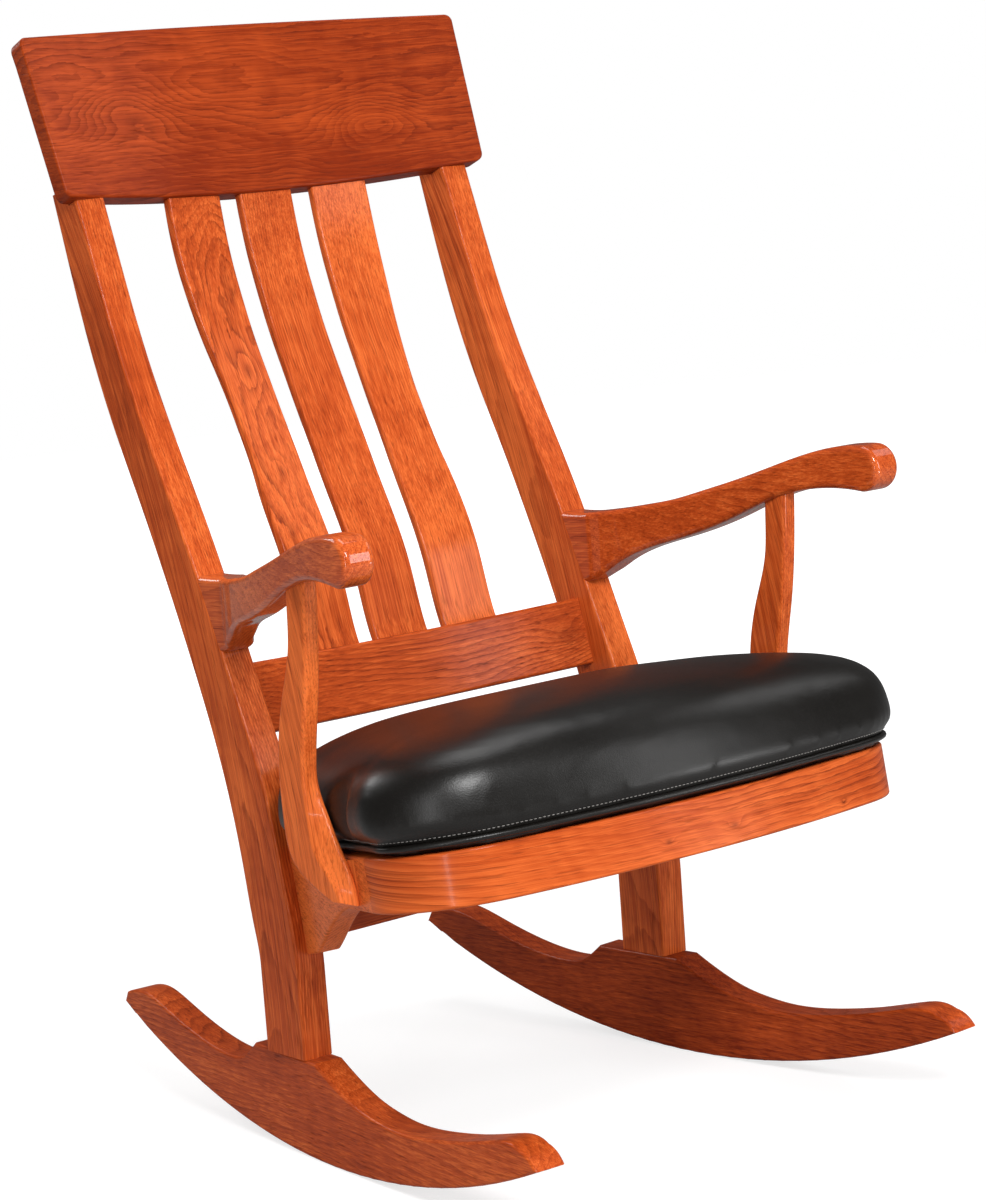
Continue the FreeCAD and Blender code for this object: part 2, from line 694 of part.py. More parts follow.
arm_inner_points = [
    vec(inner_start - g * size("arm_flare"), arm_back - f * arm_reach, 0) for f, g in ARM_INNER_SHARES
]
arm_wide = vec(-size("arm_width"), 0, 0)
arm_outer_points = [point + arm_wide for point in arm_inner_points]
arm_end = vec(0, arm_back + ARM_END_SHARE * arm_reach - arm_inner_points[0].y, 0)
arm_inner = spline(arm_inner_points, vec(0, -1, 0))
arm_outer = spline(arm_outer_points, vec(0, -1, 0))
arm_plan_curves = [
    arm_inner, line(arm_inner_points[-1], arm_outer_points[-1]), arm_outer,
    line(arm_outer_points[0], arm_outer_points[0] + arm_end),
    line(arm_outer_points[0] + arm_end, arm_inner_points[0] + arm_end),
    line(arm_inner_points[0] + arm_end, arm_inner_points[0]),
]
arm_plan = padded_body("ArmPlan", "XY_Plane", arm_plan_curves, "2 * (Sizes.arm_foot + Sizes.overrun)")
arm_square = common("ArmSquare", arm_profile, arm_plan)


def on_arm_side(edge):
    """The edges between an arm's side faces and its top, roll and underside."""
    middle = edge.valueAt((edge.FirstParameter + edge.LastParameter) / 2)
    return middle.y < arm_back - ARM_HEEL_SHARE * arm_reach or edge.Curve.TypeId != "Part::GeomLine"


arm_blank = eased("ArmEased", arm_square, size("arm_ease"), on_arm_side)

# The arm's back end stands in a shallow housing in the post's front.
arm_top_back = depth_at(post_front, size("arm_foot") + size("arm_back_height"))
housing_lean = math.degrees(math.atan((arm_top_back - arm_back) / size("arm_back_height")))
housing_frame = shifted(
    turned(vec(-post_side, arm_back, size("arm_foot")), lean=housing_lean), y=size("arm_housing"),
)
behind_arm = block(
    "BehindArm", shifted(housing_frame, y=size("overrun") / 2, z=-size("overrun")), "Sizes.overrun",
    "Sizes.overrun", "3 * Sizes.overrun",
)
arm_butted = cut("ArmButted", arm_blank, [behind_arm])


# Seat frame: its own frame lies on top of the apron, with Y along the seat and Z square to it

seat_frame = turned(vec(0, 0, size("seat_height")), lean=size("seat_slope"))
flare = math.radians(size("side_flare"))
side_way = vec(math.sin(flare), -math.cos(flare), 0)
side_out = vec(math.cos(flare), math.sin(flare), 0)
front_y = -size("seat_front")


def other_side(point):
    return vec(-point.x, point.y, point.z)


class SeatOutline:
    """The D of the seat, drawn in by inset: straight sides, front corners and front curve."""

    def __init__(self, inset):
        corner = size("corner_radius") - inset
        front = size("front_radius") - inset
        middle = vec(0, front_y + size("front_radius"), 0)
        self.start = vec(size("seat_back_half"), 0, 0) - side_out * inset
        hub = self.start - side_out * corner - middle
        along = hub.dot(side_way)
        run = -along + math.sqrt(along ** 2 - hub.dot(hub) + (front - corner) ** 2)
        to_hub = (hub + side_way * run).normalize()
        between = (side_out + to_hub).normalize()
        self.hub = middle + to_hub * (front - corner)
        self.side_end = self.start + side_way * run
        self.corner_middle = self.hub + between * corner
        self.front_end = middle + to_hub * front
        self.front_middle = middle - vec(0, front, 0)

    def side_at(self, y):
        """The point of the left side at a distance behind the legs' front faces."""
        return self.start + side_way * ((self.start.y - y) / -side_way.y)

    def front_curves(self):
        """From the left side's end round the front to the right side's end."""
        return [
            Part.Arc(self.side_end, self.corner_middle, self.front_end),
            Part.Arc(self.front_end, self.front_middle, other_side(self.front_end)),
            Part.Arc(
                other_side(self.front_end), other_side(self.corner_middle), other_side(self.side_end),
            ),
        ]

    def closed(self, rear_y, rear_corner=0.0):
        """The whole outline, its rear edge straight and its rear corners rounded or square."""
        corner = self.side_at(rear_y)
        curves = self.front_curves()
        if rear_corner == 0.0:
            return curves + [
                line(other_side(self.side_end), other_side(corner)), line(other_side(corner), corner),
                line(corner, self.side_end),
            ]
        turn = math.pi / 2 + flare
        tangent = rear_corner / math.tan(turn / 2)
        on_side = corner + side_way * tangent
        on_rear = corner - vec(tangent, 0, 0)
        hub = on_side - side_out * rear_corner
        outward = (side_out + vec(0, 1, 0)).normalize()
        middle = hub + outward * rear_corner
        return curves + [
            line(other_side(self.side_end), other_side(on_side)),
            Part.Arc(other_side(on_side), other_side(middle), other_side(on_rear)),
            line(other_side(on_rear), on_rear), Part.Arc(on_rear, middle, on_side),
            line(on_side, self.side_end),
        ]


frame_outer = SeatOutline(0.0)
frame_inner = SeatOutline(size("apron_thickness"))
apron_curves = frame_outer.front_curves() + frame_inner.front_curves() + [
    line(frame_outer.side_end, frame_inner.side_end),
    line(other_side(frame_outer.side_end), other_side(frame_inner.side_end)),
]
apron_frame = shifted(seat_frame, z=-size("apron_height"))
apron_body = padded_body(
    "ApronBlank", "XY_Plane", apron_curves, "Sizes.apron_height", apron_frame, symmetric=False,
)
apron_blank = eased(
    "ApronEased", apron_body, size("edge_ease"), lambda edge: edge.Curve.TypeId != "Part::GeomLine",
)

# Side rails. Each has a bracket that braces it to the leg.
# A side rail's frame has Y along the rail, towards the back, and X through its thickness, inwards.

BRACKET_SHARES = (
    # Forward along the rail, and down from its top
    (0.074, 0.947), (0.234, 0.789), (0.372, 0.647), (0.516, 0.535), (0.65, 0.478),
)
BRACKET_HEEL_SHARE = 0.16
side_length = (frame_outer.side_end - frame_outer.start).Length
bracket = size("bracket_height")
apron_drop = size("apron_height")
thick = size("apron_thickness")
side_frame = seat_frame.multiply(
    FreeCAD.Placement(other_side(frame_outer.start), FreeCAD.Rotation(UP, -size("side_flare")))
)
bracket_points = scaled([(-s, -d) for s, d in BRACKET_SHARES], side_length, bracket)
bracket_end = vec(-BRACKET_SHARES[-1][0] * side_length, -apron_drop, 0)
bracket_points[-1] = bracket_end
bracket_heel = vec(BRACKET_HEEL_SHARE * side_length, -bracket, 0)
side_top = vec(BRACKET_HEEL_SHARE * side_length, 0, 0)
side_front_top = vec(-side_length, 0, 0)
side_front_foot = vec(-side_length, -apron_drop, 0)
side_curves = [
    line(side_top, bracket_heel), line(bracket_heel, bracket_points[0]), spline(bracket_points),
    line(bracket_end, side_front_foot), line(side_front_foot, side_front_top),
    line(side_front_top, side_top),
]
side_body = padded_body(
    "SideBlank", "YZ_Plane", side_curves, "Sizes.apron_thickness", shifted(side_frame, x=thick / 2),
)
side_through = side_frame.Rotation.multVec(ACROSS)
side_up = side_frame.Rotation.multVec(UP)


def side_long(edge):
    """The edges along a side rail, not those of its ends or through its thickness."""
    along = edge.tangentAt(edge.FirstParameter)
    return abs(along.dot(side_through)) < 0.5 and abs(along.dot(side_up)) < 0.98


side_blank = eased("SideEased", side_body, size("edge_ease"), side_long)
leg_depth = depth_at(post_front, size("seat_height") - bracket / 2)
side_shoulder = (
    leg_depth * math.cos(math.radians(size("seat_slope")))
    + bracket / 2 * math.sin(math.radians(size("seat_slope")))
) / math.cos(flare)
side_tenon_frame = shifted(
    side_frame, x=size("side_tenon_inset"), y=side_shoulder - size("side_tenon_length"),
    z=size("side_tenon_height") / 2 - size("side_tenon_drop"),
)
side_tongue, side_mortise = tenon(
    "SideTenon", facing(side_tenon_frame, ACROSS, -90), "Sizes.side_tenon_thickness",
    "Sizes.side_tenon_height", "2 * Sizes.side_tenon_length",
)

# Dowels between the apron's ends and the side rails

dowel_frame = facing(
    shifted(
        side_frame, x=thick / 2, y=-side_length - size("side_dowel_length") / 2, z=-apron_drop / 2,
    ), ACROSS, -90,
)
side_dowel = peg("SideDowel", dowel_frame, "Sizes.side_dowel_radius", "Sizes.side_dowel_length")
side_dowel_hole = peg(
    "SideDowelHole", shifted(dowel_frame, z=-gap), "Sizes.side_dowel_radius + Sizes.joint_gap",
    "Sizes.side_dowel_length + 2 * Sizes.joint_gap",
)
side_dowel_hole_twin = mirrored("SideDowelHoleTwin", side_dowel_hole)
keep("apron_dowels", group("ApronDowels", [side_dowel, mirrored("SideDowelTwin", side_dowel)]))

# Rear seat rail, between the legs

rest_drop = size("board_thickness") + size("cloth_thickness")
slope = math.tan(math.radians(size("seat_slope")))
cross_front = size("cross_rail_front")
cross_rear = cross_front + size("cross_rail_thickness")
seat_square = math.cos(math.radians(size("seat_slope")))


def rest_level(y):
    """Height of the blocks' and the rear rail's tops, which carry the plywood."""
    return size("seat_height") - y * slope - rest_drop / seat_square


cross_points = flat([
    (cross_front, size("cross_rail_foot")), (cross_rear, size("cross_rail_foot")),
    (cross_rear, rest_level(cross_rear)), (cross_front, rest_level(cross_front)),
])
cross_blank = padded_body(
    "CrossRailBlank", "YZ_Plane", chain(cross_points), "Sizes.post_spacing - Sizes.post_width",
)
cross_end = turned(
    vec(-rail_half, (cross_front + cross_rear) / 2,
        size("cross_rail_foot") + size("cross_tenon_rise") + size("cross_tenon_height") / 2)
)
cross_tongue, cross_mortise = tenon(
    "CrossTenon", facing(cross_end, BACK, -90), "Sizes.cross_tenon_height",
    "Sizes.cross_tenon_thickness", "Sizes.cross_tenon_length",
)
keep("rear_seat_rail", fused("RearSeatRail", [
    cross_blank, cross_tongue, mirrored("CrossTenonTwin", cross_tongue),
]))

# Arm supports: the inner face's outline joined to the outer face's

SUPPORT_FRONT_SHARES = (
    # Back from the foot's foremost point, and up from the foot, on the inner face
    (0.313, 1.06), (0.327, 0.964), (0.442, 0.641), (0.558, 0.439), (0.567, 0.380), (0.423, 0.290),
    (0.096, 0.164), (0.005, 0.075), (0.0, 0.0),
)
SUPPORT_BEVEL_SHARES = (
    # The same edge on the outer face
    (0.313, 1.06), (0.327, 0.964), (0.442, 0.641), (0.558, 0.439), (0.567, 0.350), (0.555, 0.262),
    (0.490, 0.161), (0.260, 0.085), (0.120, 0.020),
)
SUPPORT_REAR_SHARES = (
    (0.600, 1.06), (0.630, 0.935), (0.669, 0.804), (0.846, 0.636), (0.985, 0.446), (1.0, 0.350),
    (0.990, 0.240), (0.898, 0.118), (0.600, 0.048), (0.300, 0.012),
)
support_depth = size("support_depth")
support_height = size("support_height")
support_base = (-size("support_reach"), size("support_foot"))


def support_face(x, front_shares):
    """One face's outline, standing in the plane at x."""
    front = scaled(front_shares, support_depth, support_height, support_base)
    rear = scaled(SUPPORT_REAR_SHARES, support_depth, support_height, support_base)
    stood = [vec(x, point.x, point.y) for point in front]
    stood_rear = [vec(x, point.x, point.y) for point in rear]
    edges = [
        spline(stood), line(stood[-1], stood_rear[-1]), spline(stood_rear[::-1]),
        line(stood_rear[0], stood[0]),
    ]
    return Part.Wire([edge.toShape() for edge in edges])


support_near = -size("support_inner")
support_far = support_near - size("support_thickness")
support_solid = Part.makeLoft(
    [support_face(support_near, SUPPORT_FRONT_SHARES), support_face(support_far, SUPPORT_BEVEL_SHARES)],
    True, True,
)
support_square = solid_feature("SupportSquare", support_solid)

LONG_EDGE_SHARE = 0.2


def support_long(edge):
    return edge.Length > LONG_EDGE_SHARE * support_height


support_eased = eased("SupportEased", support_square, size("support_ease"), support_long)

# The foot of a support is thickened inwards to lie against the flared side rail.
foot_face = Part.Face(support_face(support_near, SUPPORT_FRONT_SHARES))
foot_wedge = solid_feature("FootWedge", foot_face.extrude(vec(size("support_wedge"), 0, 0)))
frame_top = block(
    "OverFrame", shifted(seat_frame, z=-size("edge_ease")), "4 * Sizes.overrun", "4 * Sizes.overrun",
    "2 * Sizes.overrun",
)
wedge = cut("FootWedgeCut", foot_wedge, [frame_top])
support_whole = fused("SupportWhole", [support_eased, wedge])
dowel_depth = support_base[0] + support_depth * (SUPPORT_FRONT_SHARES[0][0] + SUPPORT_REAR_SHARES[0][0]) / 2
dowel_middle = height_at(arm_under, dowel_depth)
arm_dowel_frame = turned(
    vec(support_near - size("support_thickness") / 2, dowel_depth,
        dowel_middle - size("support_dowel_length") / 2)
)
arm_dowel = peg(
    "ArmDowel", arm_dowel_frame, "Sizes.support_dowel_radius", "Sizes.support_dowel_length",
)
arm_dowel_hole = peg(
    "ArmDowelHole", shifted(arm_dowel_frame, z=-gap), "Sizes.support_dowel_radius + Sizes.joint_gap",
    "Sizes.support_dowel_length + 2 * Sizes.joint_gap",
)
keep("arm_dowels", group("ArmDowels", [arm_dowel, mirrored("ArmDowelTwin", arm_dowel)]))


def screw(name, frame, radius, length):
    """A screw or bolt along its frame's Z, its head under the XY plane, and the hole for its shank."""
    shank = peg(name + "Shank", frame, radius, length)
    head_place = shifted(frame, z=-size("head_height"))
    head = peg(name + "Head", head_place, "Sizes.head_radius", "Sizes.head_height")
    hole = peg(
        name + "Hole", frame, f"{radius} + Sizes.joint_gap", f"{length} + Sizes.joint_gap",
    )
    return fused(name, [shank, head]), hole


support_bolts = []
support_holes = []
for number in range(2):
    drop = size("support_bolt_drop") + number * size("support_bolt_rise")
    bolt_place = shifted(side_frame, x=thick, y=-size("support_bolt_reach"), z=-drop)
    bolt, hole = screw(
        f"SupportBolt{number}", facing(bolt_place, BACK, -90), "Sizes.support_bolt_radius",
        "Sizes.support_bolt_length",
    )
    support_bolts += [bolt, mirrored(bolt.Name + "Twin", bolt)]
    support_holes.append(hole)
keep("support_bolts", group("SupportBolts", support_bolts))
support = cut(
    "ArmSupport", support_whole, [side_body, apron_body, arm_square, arm_dowel_hole] + support_holes,
)
keep_pair("arm_support", support)

# Bolts through the posts into the arms, and the plugs over their heads

arm_bolt_place = facing(shifted(housing_frame, z=size("arm_back_height") / 2), ACROSS, 90)
bolt_start = arm_bolt_place.Base
bolt_back = arm_bolt_place.Rotation.multVec(vec(0, 0, -1))


def past_post(point):
    """How far a point of the bolt's line lies behind the post's rear edge."""
    return point.y - depth_at(post_rear, point.z)


bolt_line = Part.LineSegment(bolt_start, bolt_start + bolt_back * size("overrun"))
post_through = (crossing(bolt_line, past_post) - bolt_start).Length
bolt_head = post_through - size("plug_length") - size("head_height")
arm_bolt, arm_bolt_hole = screw(
    "ArmBolt", shifted(arm_bolt_place, z=-bolt_head), "Sizes.arm_bolt_radius",
    f"Sizes.arm_bolt_grip + {bolt_head}",
)
plug_place = shifted(arm_bolt_place, z=-post_through - size("plug_radius"))
plug_rod = peg("PlugRod", plug_place, "Sizes.plug_radius", "Sizes.plug_length + Sizes.plug_radius")
counterbore = peg(
    "Counterbore", plug_place, "Sizes.plug_radius",
    "Sizes.plug_length + Sizes.plug_radius + Sizes.head_height",
)
arm_plug = common("ArmPlug", plug_rod, post_blank)
keep("arm_bolts", group("ArmBolts", [arm_bolt, mirrored("ArmBoltTwin", arm_bolt)]))
keep("arm_plugs", group("ArmPlugs", [arm_plug, mirrored("ArmPlugTwin", arm_plug)]))
keep_pair("arm", cut("Arm", arm_butted, [arm_dowel_hole, arm_bolt_hole]))

# Screws up through the rockers into the legs, and the plugs over their heads

rocker_screw_place = shifted(
    foot_frame, y=size("foot_setback"),
    z=-size("foot_height") + size("plug_length") * 2 + size("head_height"),
)
rocker_screw, rocker_screw_hole = screw(
    "RockerScrew", rocker_screw_place, "Sizes.screw_radius",
    "Sizes.rocker_screw_length + Sizes.foot_tenon_length",
)
sole_place = shifted(foot_frame, y=size("foot_setback"), z=-size("foot_height") - size("overrun"))
sole_plug_rod = peg(
    "SolePlugRod", sole_place, "Sizes.plug_radius", "Sizes.overrun + 2 * Sizes.plug_length",
)
sole_counterbore = peg(
    "SoleCounterbore", sole_place, "Sizes.plug_radius",
    "Sizes.overrun + 2 * Sizes.plug_length + Sizes.head_height",
)
rocker_plug = common("RockerPlug", sole_plug_rod, rocker_blank)
keep("rocker_screws", group("RockerScrews", [rocker_screw, mirrored("RockerScrewTwin", rocker_screw)]))
keep("rocker_plugs", group("RockerPlugs", [rocker_plug, mirrored("RockerPlugTwin", rocker_plug)]))
rocker = cut("Rocker", rocker_blank, [foot_mortise, rocker_screw_hole, sole_counterbore])
keep_pair("rocker", rocker)

# The finished posts

post_cut = cut("PostCut", post_blank, [
    below_foot, crest_notch_plan, before_crest, rail_mortise, side_mortise, cross_mortise,
    arm_butted, arm_bolt_hole, counterbore, crest_dowel_hole,
])
post_whole = fused("PostWhole", [post_cut, foot_tongue])
keep_pair("back_post", cut("BackPost", post_whole, [rocker_screw_hole]))

between_legs = block(
    "BetweenLegs", turned(vec(-rail_half + size("overrun") / 2, cross_front + size("overrun") / 2, 0)),
    "Sizes.overrun", "Sizes.overrun", "2 * Sizes.overrun",
)
side_shouldered = cut("SideShouldered", side_blank, [post_blank, between_legs])
side_tongued = fused("SideTongued", [side_shouldered, side_tongue])
keep_pair("side_rail", cut("SideRail", side_tongued, [side_dowel_hole] + support_holes))
keep("front_apron", cut("FrontApron", apron_blank, [side_dowel_hole, side_dowel_hole_twin]))

# Corner blocks, screwed up into the plywood

rest_frame = shifted(seat_frame, z=-rest_drop - size("block_height"))
inside = padded_body(
    "FrameInside", "XY_Plane", frame_inner.closed(2 * thick), "Sizes.block_height", rest_frame,
    symmetric=False,
)
corner_x = -frame_inner.hub.x - (size("corner_radius") - thick)
corner_y = frame_inner.hub.y - (size("corner_radius") - thick)
front_reach = size("block_reach")
front_triangle = padded_body(
    "FrontTriangle", "XY_Plane", chain([
        vec(corner_x, corner_y, 0), vec(corner_x + front_reach, corner_y, 0),
        vec(corner_x, corner_y + front_reach, 0),
    ]), "Sizes.block_height", rest_frame, symmetric=False,
)
front_block = common("FrontBlock", front_triangle, inside)
rear_reach = size("rear_block_reach")
rear_edge = 2 * thick
rear_side = frame_inner.side_at(0).x
rear_triangle = padded_body(
    "RearTriangle", "XY_Plane", chain([
        vec(-rear_side - thick, -rear_reach, 0), vec(-rear_side - thick, rear_edge, 0),
        vec(-rear_side + rear_reach, rear_edge, 0), vec(-rear_side + rear_reach, 0, 0),
        vec(-rear_side, -rear_reach, 0),
    ]), "Sizes.block_height", rest_frame, symmetric=False,
)
behind_cross = block(
    "BehindCross", turned(vec(-rail_half, cross_front + size("overrun") / 2, 0)), "2 * Sizes.overrun",
    "Sizes.overrun", "2 * Sizes.overrun",
)
rear_block = cut("RearBlock", common("RearBlockWhole", rear_triangle, inside), [behind_cross, post_blank])
SCREW_PLACE_SHARE = 0.36
screw_places = {
    "Front": vec(corner_x + SCREW_PLACE_SHARE * front_reach, corner_y + SCREW_PLACE_SHARE * front_reach, 0),
    "Rear": vec(-rear_side + SCREW_PLACE_SHARE * rear_reach, -SCREW_PLACE_SHARE * rear_reach, 0),
}
seat_screws = []
seat_holes = []
blocks = {"Front": front_block, "Rear": rear_block}
for end, spot in screw_places.items():
    item, hole = screw(
        f"SeatScrew{end}", shifted(rest_frame, x=spot.x, y=spot.y), "Sizes.screw_radius",
        "Sizes.seat_screw_length",
    )
    seat_screws += [item, mirrored(item.Name + "Twin", item)]
    seat_holes += [hole, mirrored(hole.Name + "Twin", hole)]
    keep_pair(f"{end.lower()}_corner_block", cut(f"{end}CornerBlock", blocks[end], [hole]))
keep("seat_screws", group("SeatScrews", seat_screws))

# Plywood board and the dust cover under it

board_outline = SeatOutline(thick + size("board_gap"))
board_frame = shifted(seat_frame, z=-size("board_thickness"))
board_body = padded_body(
    "BoardBody", "XY_Plane", board_outline.closed(size("cushion_rear")), "Sizes.board_thickness",
    board_frame, symmetric=False,
)
keep("seat_board", cut("SeatBoard", board_body, seat_holes))
cloth_body = padded_body(
    "ClothBody", "XY_Plane", board_outline.closed(size("cushion_rear")), "Sizes.cloth_thickness",
    shifted(seat_frame, z=-rest_drop), symmetric=False,
)
keep("dust_cover", cut("DustCover", cloth_body, seat_holes))

# Cushion: a crowned loft of the seat's outline, its sides drawn in at the bottom and the piping

CUSHION_SHARES = (
    # How large the outline is, and how high it lies. The piping goes round the first two, the foot.
    (0.940, 0.0), (0.940, 0.10), (0.974, 0.15), (1.0, 0.25), (1.0, 0.37), (0.985, 0.52), (0.945, 0.67),
    (0.880, 0.79), (0.780, 0.88), (0.620, 0.945), (0.400, 0.985), (0.160, 1.0),
)
cushion_outline = SeatOutline(-size("cushion_overhang"))
cushion_curves = cushion_outline.closed(size("cushion_rear"), size("cushion_rear_corner"))
cushion_middle = vec(0, (front_y + size("cushion_rear")) / 2, 0)
half_seat = (size("cushion_rear") - front_y) / 2
soft = size("soft_gap")
cushion_edge = Part.Wire(Part.__sortEdges__([curve.toShape() for curve in cushion_curves]))


def cushion_ring(share, height):
    """The cushion's outline at a share of its size, at a height over the frame."""
    ring = cushion_edge.copy()
    ring.translate(-cushion_middle)
    ring.scale(share)
    ring.translate(cushion_middle + vec(0, 0, height))
    return ring


def cushion_blank(margin):
    """The cushion's body, drawn in all round by margin, with room for the arm supports."""
    rings = []
    for share, level in CUSHION_SHARES:
        height = soft + margin + level * (size("cushion_height") - soft - 2 * margin)
        rings.append(cushion_ring(share * (1 - margin / half_seat), height))
    body = Part.makeLoft(rings, True, False)
    body.Placement = seat_frame
    room = support_near + soft + margin
    wide = size("overrun")
    for dent_x in (room - wide, -room):
        dent = Part.makeBox(wide, support_depth + 2 * soft + 2 * margin, 2 * wide)
        dent.translate(vec(dent_x, support_base[0] - soft - margin, support_base[1]))
        body = body.cut(dent)
    return body


leather = size("leather_thickness")
cushion_outside = cushion_blank(0.0)
keep("seat_cover", solid_feature("SeatCover", cushion_outside.cut(cushion_blank(leather))))


def foam_cores():
    """Blind round cores in staggered rows, which soften the foam and lighten it."""
    spacing = size("core_spacing")
    row_step = spacing * math.sqrt(3) / 2
    border = SeatOutline(size("core_border"))
    region = Part.Face(Part.Wire(Part.__sortEdges__([
        curve.toShape() for curve in border.closed(size("cushion_rear") - size("core_border"))
    ])))
    rows = math.ceil(half_seat / row_step)
    columns = math.ceil(border.hub.x / spacing) + 2
    cores = []
    for row in range(-rows, rows + 1):
        stagger = spacing / 2 if row % 2 else 0.0
        for column in range(-columns, columns + 1):
            spot = cushion_middle + vec(column * spacing + stagger, row * row_step, 0)
            if region.isInside(spot, size("soft_gap"), True):
                cores.append(Part.makeCylinder(size("core_radius"), size("core_depth"), spot))
    return cores


foam = cushion_blank(leather + soft)
cores = Part.makeCompound(foam_cores())
cores.Placement = seat_frame
keep("seat_foam", solid_feature("SeatFoam", foam.cut(cores)))

welt = size("welt_radius")
welt_share = CUSHION_SHARES[0][0] + (welt + soft) / (half_seat + size("cushion_overhang"))
welt_path = cushion_ring(welt_share, size("welt_height"))
welt_start = welt_path.Edges[0]
welt_section = Part.Wire([Part.Circle(
    welt_start.valueAt(welt_start.FirstParameter), welt_start.tangentAt(welt_start.FirstParameter), welt,
).toShape()])
welt_tube = welt_path.makePipeShell([welt_section], True, False)
welt_tube.Placement = seat_frame.multiply(welt_tube.Placement)
room = Part.makeBox(size("overrun"), support_depth + 2 * soft, 2 * size("overrun"))
for dent_x in (support_near + soft - size("overrun"), -support_near - soft):
    dent = room.copy()
    dent.translate(vec(dent_x, support_base[0] - soft, support_base[1]))
    welt_tube = welt_tube.cut(dent)
keep("seat_welt", solid_feature("SeatWelt", welt_tube))

# The empty chair rolls forward on its rockers until it balances.
# It turns about the middle of the rockers' curve, and Y = 0 is set under the middle of its length.

doc.recompute()
roll = FreeCAD.Placement(
    vec(0, 0, 0), FreeCAD.Rotation(ACROSS, size("rest_lean")), vec(0, size("rocker_centre"), radius),
)
rolled_tips = [roll.multVec(vec(0, tip.x, tip.y)).y for tip in (front_tip, rear_tip)]
to_middle = FreeCAD.Placement(vec(0, -sum(rolled_tips) / 2, 0), FreeCAD.Rotation())
rest = to_middle.multiply(roll)
for name, feature in NODES.items():
    if feature.TypeId != "Part::Mirroring":
        feature.Placement = rest.multiply(feature.Placement)

# Every piece is checked, then written to a file of its own

doc.recompute()
for feature in doc.Objects:
    if "Invalid" in feature.State or "Error" in feature.State:
        raise RuntimeError(f"{feature.Name} failed: {feature.State}")
for name, feature in NODES.items():
    if feature.Shape.isNull() or not feature.Shape.isValid():
        raise RuntimeError(f"{name} has no valid shape")
os.makedirs("parts", exist_ok=True)
for name, feature in NODES.items():
    feature.Shape.exportStep(f"parts/{name}.step")
    print(f"{name:26s} {len(feature.Shape.Solids)} solids {feature.Shape.Volume / 1000:9.1f} cm3")
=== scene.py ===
import math

import bmesh
import bpy
from mathutils import Matrix, Vector
from mathutils.bvhtree import BVHTree


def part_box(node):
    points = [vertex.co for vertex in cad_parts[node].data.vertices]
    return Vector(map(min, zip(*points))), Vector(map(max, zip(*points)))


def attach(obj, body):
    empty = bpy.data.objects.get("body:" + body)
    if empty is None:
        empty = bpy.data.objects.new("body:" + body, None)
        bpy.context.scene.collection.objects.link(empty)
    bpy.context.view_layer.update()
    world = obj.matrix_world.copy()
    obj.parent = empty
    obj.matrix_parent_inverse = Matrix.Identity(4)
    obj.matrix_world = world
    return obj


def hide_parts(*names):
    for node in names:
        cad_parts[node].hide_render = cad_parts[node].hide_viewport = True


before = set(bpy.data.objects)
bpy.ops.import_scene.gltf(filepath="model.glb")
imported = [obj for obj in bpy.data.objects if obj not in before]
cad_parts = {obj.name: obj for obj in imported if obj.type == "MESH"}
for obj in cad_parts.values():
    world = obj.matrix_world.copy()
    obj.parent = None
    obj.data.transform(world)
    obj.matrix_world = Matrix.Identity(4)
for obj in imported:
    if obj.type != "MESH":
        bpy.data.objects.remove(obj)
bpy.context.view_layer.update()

# The chair rests rolled a little forward on its rockers, about the middle of their soles' arc. The camera
# and the seat were set while the chair stood level, and this turns them with it.

LEAN = math.radians(3.6)
SOLE_RADIUS = 1.0669
LEVEL_MIDDLE = 0.0302
ROLLED_MIDDLE = -0.031405
ROLL = (
    Matrix.Translation((0, ROLLED_MIDDLE, SOLE_RADIUS))
    @ Matrix.Rotation(LEAN, 4, "X")
    @ Matrix.Translation((0, -LEVEL_MIDDLE, -SOLE_RADIUS))
)
SEAT_SLOPE = math.radians(9.65)
SEAT_HEIGHT = 0.324
SEAT = ROLL @ Matrix.Translation((0, 0, SEAT_HEIGHT)) @ Matrix.Rotation(-SEAT_SLOPE, 4, "X")
SEAT_UP = (SEAT.to_3x3() @ Vector((0, 0, 1))).normalized()


# Camera, in front of the chair's right arm and level with the middle of the back

CAMERA_PLACE = (-1.7885, -2.5113, 1.0570)
CAMERA_TURN = Matrix((
    (0.80174, 0.15640, -0.57684), (-0.59333, 0.09215, -0.79967), (-0.07191, 0.98338, 0.16668),
)).to_4x4()

camera_data = bpy.data.cameras.new("camera")
camera_data.lens = 90.78
camera_data.sensor_width = 36
camera_data.clip_start = 0.1
camera_data.clip_end = 60
camera = bpy.data.objects.new("camera", camera_data)
camera.matrix_world = ROLL @ Matrix.Translation(CAMERA_PLACE) @ CAMERA_TURN
bpy.context.scene.collection.objects.link(camera)
bpy.context.scene.camera = camera


# Finishes

